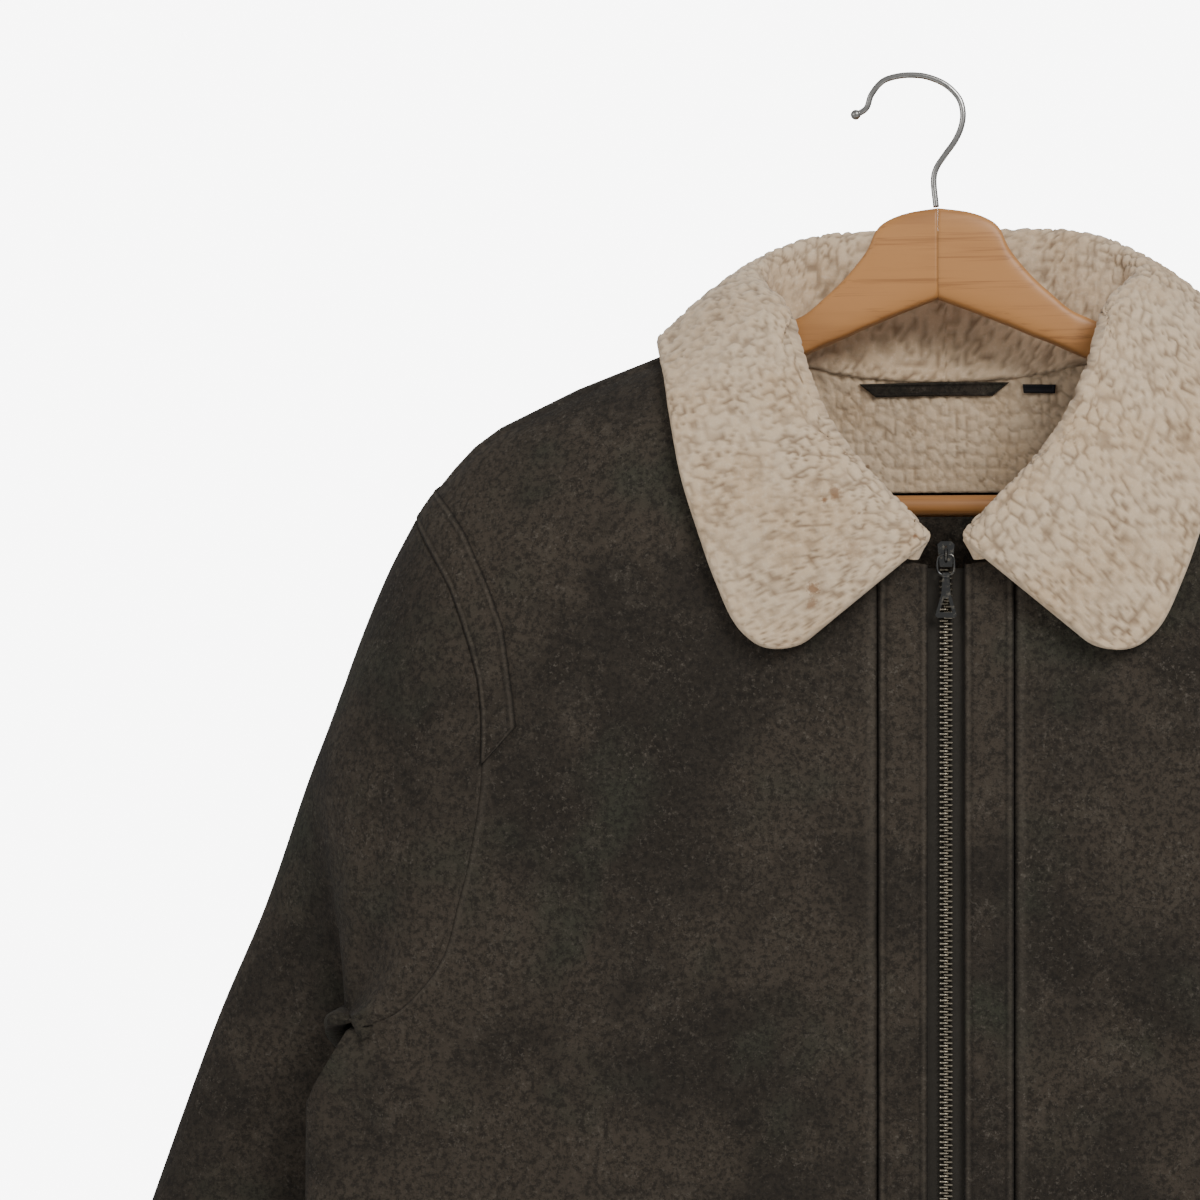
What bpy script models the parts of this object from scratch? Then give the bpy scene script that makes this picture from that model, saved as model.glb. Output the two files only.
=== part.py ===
"""A shearling jacket on its wooden hanger, hanging from the hanger's hook.

World frame in metres: +Z is up, the jacket faces -Y, and the origin is the point of the hook that
rests on whatever carries it. Tables are in millimetres, in the garment's own frame, whose middle
plane is x = 0; most give one half and are mirrored. Left and right are the viewer's.
"""

import math

import bmesh
import bpy
import numpy as np

MM = 0.001
SIDES = (("left", -1), ("right", 1))

# Driving sizes, mm
GARMENT_X = 14.0  # garment's middle plane from the hook's hang point
HANGER_X = -4.0  # hanger's middle from the garment's
SEAM_GAP = 0.3
WALL = 3.0  # leather shell
HEM_Z = -830.0
CHEST_DEPTH = 58.0  # front surface ahead of the hanger
BACK_DEPTH = 38.0
RIDGE_RADIUS = 12.0  # cloth folded over the hanger at the shoulder
SIDE_Y = -30.0  # where the side fold lies, ahead of the sleeve
SIDE_X = 313.0  # half the width at the side fold
UNDERARM = (291.0, -470.0)
PLACKET_EDGE = 8.5  # from the middle to the edge beside the zip
PLACKET_SEAM = 31.5
PILE = 7.0  # thickness of the collar's pile cloth
YOKE_PILE = 5.0
YOKE_HALF = 80.0
YOKE_BOTTOM = -205.5
ARMPIT_EASE = 3.0  # more room where the seam folds under the arm
NECK_ROWS = 10  # rows of a front panel that end at the neck seam
COLLAR_EASE = 3.4  # from the neck seam's line to the collar's edge
LEAF_CLEAR = 1.8  # the leaf's middle stands this many half thicknesses off the body
LEAF_LIFT = 5.5  # how far the leaf stands off the stand, next to the roll
BAND_THICK = 2.0  # armhole band, and its gap to the body
BAND_OFF = 0.5
PLACKET_RISE = 1.2  # how far a placket strip stands proud
PLACKET_TOP = -243.0
ZIP_TOP = -244.5
TAPE = 1.0  # thickness of the zip's tape
CHAIN_HALF = 3.0  # half the width of the zip's teeth, and their depth
CHAIN_DEEP = 2.6
TAB_OFF = 0.1  # labels: more gap behind, and thickness
TAB_THICK = 1.0
ARM_CLEAR = 2.2  # between a hanger arm and the cloth that it carries
WOOD_HALF = 8.0  # half the hanger's thickness, in sight and under the cloth
WOOD_HIDDEN_HALF = 6.2
BAR_RADIUS = 5.3
BAR_HALF = 197.5
BAR_Z = -213.5
BAR_Y = -2.0
HOOK_WIRE = 1.5  # radii from here on: hook, slider's bridge and ring
BRIDGE_WIRE = 0.7
RING_WIRE = 0.6
SLIDER_Z = -238.0
SLIDER_HIGH = 12.0
SLIDER_WIDE = 8.0
SLIDER_DEEP = 4.6
BRIDGE_OUT = 2.8  # how far the bridge arches out, and half its height
BRIDGE_HIGH = 3.6
RING_WIDE = 9.3
RING_HIGH = 11.0
RING_CORNER = 2.6
CURL_OUT = 1.6  # outer radius of the tab's curl round the ring
TAB_TOP = 3.2
TAB_FOOT = 10.0
TAB_LONG = 20.0
TAB_PLATE = 1.2

# Shoulder line: x, z
SHOULDER = ((0, -78), (60, -105), (100, -121), (137, -136.6), (182, -154), (221, -172.7),
            (234, -182), (244, -192.5), (253.5, -204), (264, -218.7), (275, -240))
# Armhole seam, shoulder to underarm: x, z
ARMHOLE = ((264, -218.7), (252, -236), (241, -252), (234, -268), (227.6, -286), (223.8, -300.5),
           (222.2, -318), (222.2, -340), (224, -360), (229, -386), (235, -408), (243, -435),
           (265, -460), UNDERARM)
# Side seam from the underarm to the hem: x, z
SIDE_SEAM = (UNDERARM, (302, -488), (310, -502), (SIDE_X, -520), (SIDE_X, -620), (311, -730),
             (309, HEM_Z))
# Neck seam of a front panel, shoulder to placket: x, z
NECK_FRONT = ((101, -121.4), (99, -140), (92, -164), (80, -190), (63, -214), (46, -230),
              (PLACKET_SEAM + 0.6, -238))
# Neck seam of the back, shoulder to middle: x, z
NECK_BACK = ((101, -121.4), (93, -129.5), (70, -139), (38, -145.5), (0, -147.5))
# Armhole band's inner seam from the shoulder to its corner, then its point: x, z
BAND_INNER = ((253.5, -204), (241, -216.5), (230, -231.5), (223, -246), (216, -260.5), (211, -274),
              (209, -287), (207, -301), (205, -313), (204.6, -320.5), (222.5, -340.4))
# Soft folds of the fronts: middle x, z, angle from level, half length, half width, depth into the cloth
FOLDS = (
    (-196, -455, 62, 80, 16, 4.5),
    (-262, -430, 48, 62, 14, 6.0),
    (-66, -455, 34, 48, 15, 3.5),
    (-120, -560, 82, 120, 22, 4.0),
    (-232, -640, 84, 130, 24, 5.0),
    (-90, -730, 78, 90, 24, 3.5),
    (98, -470, -32, 60, 16, 4.0),
    (205, -440, -60, 84, 17, 5.0),
    (262, -436, -48, 58, 14, 6.0),
    (140, -600, -80, 120, 22, 4.0),
    (236, -660, -86, 120, 24, 4.5),
    (80, -740, -80, 84, 22, 3.0),
)
# Sleeve rings: outer edge x, y, z; inner edge x, y, z; half depth
SLEEVE_RINGS = (
    (266, 0, -221, 291, -30, -471, 52),
    (280, 2, -247, 302, -24, -471, 50),
    (294, 6, -279, 308, 2, -480, 45),
    (309, 12, -318, 297, 24, -496, 39),
    (325, 20, -354, 279, 38, -511, 34),
    (350, 30, -418, 249, 45, -545, 30),
    (378, 36, -480, 243, 48, -572, 28),
    (411, 38, -568, 270, 48, -632, 28),
    (440, 38, -650, 306, 46, -706, 28),
    (467, 36, -736, 344, 42, -783, 27),
    (491, 34, -818, 376, 38, -862, 26),
)
# Folds of the sleeves: share of the length, angle round the ring, width, depth
SLEEVE_FOLDS = ((0.16, 210, 9, 5.0), (0.30, 255, 7, 4.0), (0.46, 225, 6, 3.5), (0.62, 262, 6, 3.0),
                (0.80, 235, 6, 3.0))
# Collar sections from the front end to the middle of the back:
# seam x, z (seam y is the body's); roll x, y, z; outer edge x, y, z; the leaf's direction off the body
COLLAR = (
    (14, -243, 9, -62, -233, 77, -62.5, -289, 0, -1, 0),
    (27, -240, 18, -63, -222, 97, -62.5, -273, 0, -1, 0),
    (45, -231, 32, -63, -208, 108, -62, -251, 0, -1, 0),
    (63, -214, 47, -59, -191, 117, -60, -226, 0, -1, 0),
    (80, -190, 60, -51, -171, 125, -54, -201, 0, -1, 0),
    (92, -164, 70, -40, -146, 131, -43, -174, 0.2, -0.9, 0.3),
    (99, -140, 78, -24, -121, 136, -26, -151, 0.3, -0.7, 0.6),
    (101, -121.4, 93, 2, -103, 142, 1, -133.5, 0.3, 0, 0.95),
    (93, -129.5, 87, 22, -90, 130, 27, -141, 0.2, 0.7, 0.6),
    (70, -139, 70, 34, -81, 94, 45, -143, 0, 1, 0.1),
    (38, -145.5, 46, 42, -77.5, 52, 53, -140, 0, 1, 0.1),
    (0, -147.5, 0, 46, -77.5, 0, 57, -138, 0, 1, 0.1),
)
# Hanger arm, in the hanger's half frame: x, top z, bottom z; the top is the shoulder's past the last top
ARM = ((0.15, -67.5, -111.7), (14, -69.5, -117), (24, -73, -121), (30, -78, -123.5), (35, -88.5, -125.5),
       (45, -101, -130), (55, -110.5, -134), (66, -119.5, -139))
# Its hidden stretch, under the cloth: x, top z or 0 for close under the shoulder, bottom z
ARM_HIDDEN = ((84, -127.5, -147), (108, -137, -157), (130, 0, -166), (160, 0, -178), (185, 0, -189),
              (197, 0, -194), (198.5, 0, -221), (207, -180, -223), (214, -187, -212))
# Hook wire, in the world frame, from the ball to the wood: x, z
HOOK = ((-32.3, -21.3), (-25.2, -17.5), (-22.4, -10.5), (-17, -4.2), (-9.5, -1.8), (-1.5, -1.5), (5.7, -2.8),
        (13.8, -6.6), (20, -13), (22.2, -20), (21.5, -27), (18.5, -34), (13.5, -41), (9.3, -47.5),
        (8, -54), (9.2, -66.6))


def clear_scene():
    for thing in list(bpy.data.objects):
        bpy.data.objects.remove(thing, do_unlink=True)


def material(name, colour, roughness, metallic=0.0):
    made = bpy.data.materials.new(name)
    made.use_nodes = True
    shader = made.node_tree.nodes["Principled BSDF"]
    shader.inputs["Base Color"].default_value = (*colour, 1)
    shader.inputs["Roughness"].default_value = roughness
    shader.inputs["Metallic"].default_value = metallic
    made.diffuse_color = (*colour, 1)
    return made


def spline(points, count=None, at=None):
    """Points along a Catmull-Rom curve through a table's rows, evenly by length or at given shares of it."""
    rows = np.asarray(points, float)
    ends = np.vstack([2 * rows[0] - rows[1], rows, 2 * rows[-1] - rows[-2]])
    fine = []
    for a, b, c, d in zip(ends, ends[1:], ends[2:], ends[3:]):
        t = np.linspace(0, 1, 16, endpoint=False)[:, None]
        fine.append(0.5 * (2 * b + (c - a) * t + (2 * a - 5 * b + 4 * c - d) * t**2
                           + (3 * b - a - 3 * c + d) * t**3))
    fine = np.vstack([*fine, rows[-1:]])
    length = np.concatenate([[0], np.cumsum(np.linalg.norm(np.diff(fine, axis=0), axis=1))])
    at = np.linspace(0, 1, count) if at is None else np.asarray(at)
    return np.stack([np.interp(at * length[-1], length, axis) for axis in fine.T], axis=1)


def through(points, at):
    """A table read between its rows, where row k stands at k."""
    rows = np.asarray(points, float)
    at = np.clip(np.asarray(at, float), 0, len(rows) - 1)
    k = np.minimum(at.astype(int), len(rows) - 2)
    t = (at - k)[:, None]
    before, after = rows[np.maximum(k - 1, 0)], rows[np.minimum(k + 2, len(rows) - 1)]
    a, b = rows[k], rows[k + 1]
    return 0.5 * (2 * a + (b - before) * t + (2 * before - 5 * a + 4 * b - after) * t**2
                  + (3 * a - before - 3 * b + after) * t**3)


def shoulder_z(x):
    table = np.array(SHOULDER, float)
    return np.interp(np.abs(x), table[:, 0], table[:, 1])


def reach(x, z, depth):
    """How far the cloth stands from the middle plane: half round over the shoulder, then out to its depth."""
    drop = np.maximum(shoulder_z(x) - z, 0.0)
    ridge = RIDGE_RADIUS * np.sqrt(1 - (1 - np.minimum(drop, RIDGE_RADIUS) / RIDGE_RADIUS) ** 2)
    ease = 32 + 26 * np.clip((np.abs(x) - 150) / 100, 0, 1)
    return ridge + (depth - RIDGE_RADIUS) * (1 - np.exp(-np.maximum(drop - 5, 0) / ease))


def roundness(x, z, power):
    """1 on the flat of a panel, falling to 0 at the side fold."""
    edge = np.interp(z, [-520, UNDERARM[1], -380, -300], [SIDE_X + 1, SIDE_X + 6, SIDE_X + 130, SIDE_X * 6])
    return (1 - np.clip(np.abs(x) / edge, 0, 1) ** power) ** (1 / power)


def folds(x, z):
    total = np.zeros(np.broadcast(x, z).shape)
    for middle_x, middle_z, angle, half_length, half_width, depth in FOLDS:
        c, s = math.cos(math.radians(angle)), math.sin(math.radians(angle))
        along = (x - middle_x) * c + (z - middle_z) * s
        across = (z - middle_z) * c - (x - middle_x) * s
        total += depth * np.exp(-((along / half_length) ** 2) - (across / half_width) ** 2)
    return total


def front_y(x, z):
    flat = -reach(x, z, CHEST_DEPTH)
    q = roundness(x, z, 3.2)
    side = np.clip((np.abs(x) - 20) / 40, 0, 1)
    return SIDE_Y * (1 - q) + flat * q + folds(x, z) * side * q


def back_y(x, z):
    q = roundness(x, z, 2.0)
    return SIDE_Y * (1 - q) + reach(x, z, BACK_DEPTH) * q


def normals(grid, closed=False):
    """Unit normals of a grid of points, from its rows and columns."""
    if closed:
        along = np.roll(grid, -1, axis=1) - np.roll(grid, 1, axis=1)
    else:
        along = np.gradient(grid, axis=1)
    cross = np.cross(along, np.gradient(grid, axis=0))
    return cross / np.maximum(np.linalg.norm(cross, axis=2, keepdims=True), 1e-9)


def wall_mesh(name, outer, inner, closed=False):
    """One closed body between two grids of the same rows and columns."""
    rows, columns = outer.shape[:2]
    points = np.concatenate([outer.reshape(-1, 3), inner.reshape(-1, 3)]) * MM
    top = np.arange(rows * columns).reshape(rows, columns)
    low = top + rows * columns
    faces = []

    def quads(a, b, c, d):
        faces.extend(np.stack([a.ravel(), b.ravel(), c.ravel(), d.ravel()], axis=1).tolist())

    if closed:
        top, low = (np.hstack([sheet, sheet[:, :1]]) for sheet in (top, low))
    quads(top[:-1, :-1], top[1:, :-1], top[1:, 1:], top[:-1, 1:])
    quads(low[:-1, :-1], low[:-1, 1:], low[1:, 1:], low[1:, :-1])
    quads(top[0, :-1], top[0, 1:], low[0, 1:], low[0, :-1])
    quads(top[-1, 1:], top[-1, :-1], low[-1, :-1], low[-1, 1:])
    if not closed:
        quads(top[1:, 0], top[:-1, 0], low[:-1, 0], low[1:, 0])
        quads(top[:-1, -1], top[1:, -1], low[1:, -1], low[:-1, -1])
    mesh = bpy.data.meshes.new(name)
    mesh.from_pydata(points.tolist(), [], faces)
    build = bmesh.new()
    build.from_mesh(mesh)
    bmesh.ops.recalc_face_normals(build, faces=build.faces)
    build.to_mesh(mesh)
    build.free()
    mesh.shade_smooth()
    return mesh


def place(name, mesh, finish, parent):
    made = bpy.data.objects.new(name, mesh)
    mesh.materials.append(finish)
    bpy.context.collection.objects.link(made)
    made.parent = parent
    return made


def empty(name, x):
    made = bpy.data.objects.new(name, None)
    bpy.context.collection.objects.link(made)
    made.location = (x * MM, 0, 0)
    return made


def facing(grid, sign):
    """Normals turned so that their y has the given sign, on most of the grid."""
    found = normals(grid)
    return found if np.sum(found[..., 1]) * sign > 0 else -found


# Rows: fine over the shoulder, then even; the shares are of the armhole, then of the side seam
ARM_ROWS = np.array([0, 0.012, 0.03, 0.055, 0.09, 0.14, 0.2, 0.27, 0.35, 0.44, 0.54, 0.65, 0.77, 0.89, 1.0])
SIDE_ROWS = np.linspace(0, 1, 14)[1:]


def panel_grid(neck, inner_x, columns, face):
    """A panel's outer points, in rows from the neck seam or the middle out to the armhole or side seam."""
    outer = np.vstack([spline(ARMHOLE, at=ARM_ROWS), spline(SIDE_SEAM, at=SIDE_ROWS)])
    top = spline(neck, at=np.linspace(0, 1, NECK_ROWS) ** 2.1)
    below = np.linspace(top[-1][1], HEM_Z, len(outer) - NECK_ROWS + 1)[1:]
    inner = np.vstack([top, np.stack([np.full(len(below), inner_x), below], axis=1)])
    u = np.linspace(0, 1, columns)
    x = inner[:, :1] * (1 - u) + outer[:, :1] * u
    z = inner[:, 1:] * (1 - u) + outer[:, 1:] * u
    lift = shoulder_z(x[0]) - z[0]
    drop = (outer[:, 1] - outer[0, 1])[:, None]
    z = z + lift * np.exp(drop / 60)
    z = np.minimum(z, shoulder_z(x))
    return x, z, face(x, z)


def mirror(grid, sign):
    return grid * np.array([sign, 1, 1])


def front_grid(sign):
    x, z, _ = panel_grid(NECK_FRONT, PLACKET_SEAM + 0.3, 15, front_y)
    y = front_y(x * sign, z)
    y[0] = -SEAM_GAP / 2
    side = slice(len(ARM_ROWS) - 1, None)
    y[side, -1] = SIDE_Y - SEAM_GAP
    return np.stack([x, y, z], axis=2)


def back_grid():
    """Half the back: its top row runs along the neck seam and then the shoulder."""
    outer = np.vstack([spline(ARMHOLE, at=ARM_ROWS), spline(SIDE_SEAM, at=SIDE_ROWS)])
    shoulder_x = np.linspace(NECK_BACK[0][0], ARMHOLE[0][0], 7)[1:]
    top = np.vstack([spline(NECK_BACK[::-1], 5), np.column_stack([shoulder_x, shoulder_z(shoulder_x)])])
    share = (outer[:, 1] - outer[0, 1]) / (outer[-1, 1] - outer[0, 1])
    middle = top[0, 1] + (HEM_Z - top[0, 1]) * share
    u = (top[:, 0] / top[-1, 0])[None, :]
    even = np.linspace(0, 1, len(top))[None, :]
    low = np.clip(share * 2.5, 0, 1)[:, None]
    u = u * (1 - low) + even * low
    x = outer[:, :1] * u
    straight = top[0, 1] + (top[-1, 1] - top[0, 1]) * top[:, 0] / top[-1, 0]
    bend = (top[:, 1] - straight)[None, :] * np.exp((outer[:, 1:] - outer[0, 1]) / 70)
    z = middle[:, None] * (1 - u) + outer[:, 1:] * u + bend
    z = np.minimum(z, shoulder_z(x))
    y = back_y(x, z)
    y[0, -7:] = SEAM_GAP / 2
    y[len(ARM_ROWS) - 1:, -1] = SIDE_Y + SEAM_GAP
    return np.stack([x, y, z], axis=2)


def inside(outer, sign, thickness=WALL):
    """The wall's inner points, kept on their own side of the shoulder and side seams."""
    inner = outer - facing(outer, sign) * thickness
    half = SEAM_GAP / 2
    if sign < 0:
        inner[:3, :, 1] = np.minimum(inner[:3, :, 1], -half)
        limit = np.minimum(inner[len(ARM_ROWS) - 1:, -1, 1], SIDE_Y - SEAM_GAP)
    else:
        inner[:3, -7:, 1] = np.maximum(inner[:3, -7:, 1], half)
        limit = np.maximum(inner[len(ARM_ROWS) - 1:, -1, 1], SIDE_Y + SEAM_GAP)
    inner[len(ARM_ROWS) - 1:, -1, 1] = limit
    return inner


def sleeve_walls(front, front_in, back, back_in, sign):
    """Sleeve rings: the first is the armhole, moved off by the seam's gap, and it eases into ovals."""
    rows = len(ARM_ROWS)

    def armhole(front_side, back_side):
        return np.vstack([front_side[:rows, -1], back_side[:rows, -1][::-1]])

    ring_out, ring_in = armhole(front, back), armhole(front_in, back_in)
    at = np.linspace(0, len(SLEEVE_RINGS) - 1, 20)
    table = through(SLEEVE_RINGS, at)
    half = np.concatenate([[0], np.cumsum(np.linalg.norm(np.diff(ring_out[:rows], axis=0), axis=1))])
    half = half / half[-1] * math.pi
    angle = np.concatenate([half, 2 * math.pi - half[::-1]])
    flat = np.sign(np.cos(angle)) * np.abs(np.cos(angle)) ** 0.9
    round_ = np.sign(np.sin(angle)) * np.abs(np.sin(angle)) ** 0.9
    middle = (table[:, None, 0:3] + table[:, None, 3:6]) / 2
    arm = (table[:, None, 0:3] - table[:, None, 3:6]) / 2
    grid = middle + arm * flat[None, :, None]
    grid[..., 1] -= table[:, 6:7] * round_
    for share, where, width, depth in SLEEVE_FOLDS:
        ring = at / at[-1]
        turn = (np.degrees(angle) - (360 - where) + 180) % 360 - 180
        press = depth * np.exp(-((ring[:, None] - share) / 0.05) ** 2 - (turn[None] / (width * 5)) ** 2)
        grid[..., 1] -= press * np.sign(grid[..., 1] - middle[..., 1])
    along = np.gradient(ring_out[:rows], axis=0)
    off = np.stack([-along[:, 2], np.zeros(rows), along[:, 0]], axis=1)
    armpit = np.linspace(0, 1, rows)[:, None] ** 4
    off = off / np.linalg.norm(off, axis=1, keepdims=True) * (SEAM_GAP * 2 + ARMPIT_EASE * armpit)
    step = np.vstack([off, off[::-1]])
    fade = np.clip(1 - at / 3.2, 0, 1)
    fade = (fade**2 * (3 - 2 * fade))[:, None, None]
    outer = grid + fade * (ring_out + step - grid[0])
    inner = outer - ring_normals(outer) * WALL
    seam = np.clip(1 - at / 0.5, 0, 1)[:, None, None]
    inner = inner * (1 - seam) + (ring_in + step) * seam
    inner[0] = ring_in + step
    return mirror(outer, sign), mirror(inner, sign)


def ring_normals(grid):
    """Outward normals of a tube of rings."""
    found = normals(grid, closed=True)
    middle = grid.mean(axis=1, keepdims=True)
    return found if np.sum(found * (grid - middle)) > 0 else -found


def body_panels(leather, garment):
    back = back_grid()
    back_in = inside(back, 1)
    whole = np.concatenate([mirror(back, -1)[:, ::-1], back[:, 1:]], axis=1)
    whole_in = np.concatenate([mirror(back_in, -1)[:, ::-1], back_in[:, 1:]], axis=1)
    place("back", wall_mesh("back", whole, whole_in), leather, garment)
    for side, sign in SIDES:
        front = front_grid(sign)
        front_in = inside(front, -1)
        mesh = wall_mesh(f"front_{side}", mirror(front, sign), mirror(front_in, sign))
        place(f"front_{side}", mesh, leather, garment)
        outer, inner = sleeve_walls(front, front_in, back, back_in, sign)
        mesh = wall_mesh(f"sleeve_{side}", outer, inner, closed=True)
        place(f"sleeve_{side}", mesh, leather, garment)


def body_point(x, drop, face):
    """A point of the body's outside, where drop is how far it is below the shoulder line."""
    z = shoulder_z(x) - np.maximum(drop, 0)
    return np.stack([x, (front_y if face < 0 else back_y)(x, z), z], axis=-1)


def body_normal(x, drop, face):
    """The outside's unit normal there, from two short steps over it."""
    here = body_point(x, drop, face)
    beside = body_point(x + 0.5, drop, face)
    below = body_point(x, drop + 0.5, face)
    cross = np.cross(beside - here, below - here)
    cross = cross / np.linalg.norm(cross, axis=-1, keepdims=True)
    return np.where(cross[..., 1:2] * face < 0, -cross, cross)


def strip(name, left, right, columns, low, high, sign, finish, parent):
    """Cloth laid on the body between two edges: rows of x, drop and face, raised from low to high off it."""
    u = np.linspace(0, 1, columns)[None, :]
    x = left[:, :1] * (1 - u) + right[:, :1] * u
    drop = left[:, 1:2] * (1 - u) + right[:, 1:2] * u
    face = np.repeat(left[:, 2:3], columns, axis=1)
    on_front = face < 0
    normal_front, normal_back = body_normal(x * sign, drop, -1), body_normal(x * sign, drop, 1)
    point_front, point_back = body_point(x * sign, drop, -1), body_point(x * sign, drop, 1)
    normal = np.where(on_front[..., None], normal_front, normal_back)
    point = np.where(on_front[..., None], point_front, point_back)
    ridge = np.clip(1 - drop / 2.5, 0, 1)[..., None]
    upright = np.array([-0.45 * sign, 0, 0.9])
    normal = normal * (1 - ridge) + upright * ridge
    normal = normal / np.linalg.norm(normal, axis=-1, keepdims=True)
    low = low + ridge * 0.9 * (low > 0)
    made = wall_mesh(name, point + normal * high, point + normal * low)
    return place(name, made, finish, parent)


def drop_of(points):
    return shoulder_z(points[:, 0]) - points[:, 1]


def armhole_bands(leather, garment):
    """A strip along each armhole, over the shoulder from a point on the back to a point on the chest."""
    shares = np.array([0.008, 0.05, 0.11, 0.19, 0.28, 0.38, 0.48, 0.58, 0.68, 0.76])
    hole = [row for row in ARMHOLE if row[1] > BAND_INNER[-1][1] + 1] + [BAND_INNER[-1]]
    outside = spline(hole, at=np.append(shares / 0.8 * 0.94, [0.965, 0.985]))
    inner = spline(BAND_INNER[:-1], at=shares / 0.76)
    point = spline(BAND_INNER[-2:], at=[0.45, 0.9])
    inner = np.vstack([inner, point])
    outside[:, 0] -= 0.5
    rows_out = np.column_stack([outside, drop_of(outside)])[:, [0, 2]]
    rows_in = np.column_stack([inner, drop_of(inner)])[:, [0, 2]]

    def both(rows):
        front = np.column_stack([rows, np.full(len(rows), -1.0)])
        back = np.column_stack([rows, np.full(len(rows), 1.0)])[::-1]
        top = np.array([[rows[0, 0], 0, -1.0]])
        return np.vstack([back, top, front])

    for side, sign in SIDES:
        strip(f"armhole_band_{side}", both(rows_in), both(rows_out), 5, BAND_OFF, BAND_OFF + BAND_THICK,
              sign, leather, garment)


def upright_strip(name, near, far, top, bottom, low, high, sign, finish, garment, columns=4):
    """A strip down the front, with its edges near and far from the middle."""
    z = np.linspace(top, bottom, 26)

    def edge(x, lean):
        zs = z.copy()
        zs[0] += lean
        xs = np.full(len(z), x)
        return np.column_stack([xs, shoulder_z(xs) - zs, np.full(len(z), -1.0)])

    outer = edge(far, (far - near) * 0.16)
    return strip(name, edge(near, 0.0), outer, columns, low, high, sign, finish, garment)


def front_edges(leather, tape, metal, garment):
    """Placket strips, zip tapes and the zip's closed teeth, all following the chest."""
    for side, sign in SIDES:
        upright_strip(f"placket_{side}", PLACKET_EDGE, PLACKET_SEAM, PLACKET_TOP, HEM_Z, -WALL, PLACKET_RISE,
                      sign, leather, garment)
        upright_strip(f"zip_tape_{side}", SEAM_GAP / 2, PLACKET_EDGE + 5, ZIP_TOP, HEM_Z + 4,
                      -WALL - SEAM_GAP - TAPE, -WALL - SEAM_GAP, sign, tape, garment, columns=3)
    z = np.linspace(SLIDER_Z - SLIDER_HIGH / 2 - SEAM_GAP, HEM_Z + 10, 24)
    face = front_y(np.zeros(len(z)), z)
    width = np.array([-CHAIN_HALF, -CHAIN_HALF / 3, CHAIN_HALF / 3, CHAIN_HALF])
    x, zz = np.meshgrid(width, z)
    y = np.repeat((face + WALL)[:, None], len(width), axis=1)
    chain = np.stack([x, y - CHAIN_DEEP, zz], axis=2)
    chain_in = np.stack([x, y, zz], axis=2)
    place("zip_chain", wall_mesh("zip_chain", chain, chain_in), metal, garment)


def collar(pile, garment):
    """The collar from one front end round the back to the other: stand, roll and leaf in one pile cloth."""
    at = np.concatenate([[0, 0.35], np.linspace(0.75, len(COLLAR) - 1, 17)])
    rows = through(COLLAR, at)
    seam_x, seam_z = rows[:, 0], rows[:, 1]
    forward = at < 7
    seam_y = np.where(forward, front_y(seam_x, seam_z) + WALL / 2, back_y(seam_x, seam_z) - WALL / 2)
    seam_y = np.where(np.abs(at - 7) < 0.6, (at - 7) * 14, seam_y)
    seam = np.stack([seam_x, seam_y, seam_z], axis=1)
    roll, edge, off = rows[:, 2:5], rows[:, 5:8], rows[:, 8:11]
    off = off / np.linalg.norm(off, axis=1, keepdims=True)
    stand = roll - seam
    start = seam + stand / np.linalg.norm(stand, axis=1, keepdims=True) * COLLAR_EASE
    knots = np.stack([
        start,
        start + (roll - start) * 0.55 - off * 1.0,
        roll,
        roll + (edge - roll) * 0.10 + off * LEAF_LIFT,
        roll + (edge - roll) * 0.50 + off * LEAF_LIFT,
        edge,
    ], axis=1)
    share = np.concatenate([np.linspace(0, 2, 5), np.linspace(2, 5, 8)[1:]])
    half = np.stack([through(section, share) for section in knots])
    rest_leaf(half, at, share)
    whole = np.concatenate([mirror(half, -1), half[-2::-1]])
    normal = normals(whole)
    made = wall_mesh("collar", whole + normal * PILE / 2, whole - normal * PILE / 2)
    place("collar", made, pile, garment)


def rest_leaf(half, at, share):
    """Lifts the leaf's points until the leaf lies on the body's outside and not in it."""
    leaf = share > 2
    x, y, z = (half[:, leaf, k] for k in range(3))
    off = PILE / 2 * LEAF_CLEAR
    up = z - (shoulder_z(x) - RIDGE_RADIUS)
    far = np.maximum(np.hypot(y, up), 1e-6)
    push = np.where(up > 0, np.maximum((RIDGE_RADIUS + off) / far, 1.0), 1.0)
    y, z = y * push, z + up * (push - 1)
    front = (at < 7)[:, None]
    y = np.where(front & (up <= 0), np.minimum(y, front_y(x, z) - off), y)
    y = np.where(~front & (up <= 0), np.maximum(y, back_y(x, z) + off), y)
    half[:, leaf, 1], half[:, leaf, 2] = y, z


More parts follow.
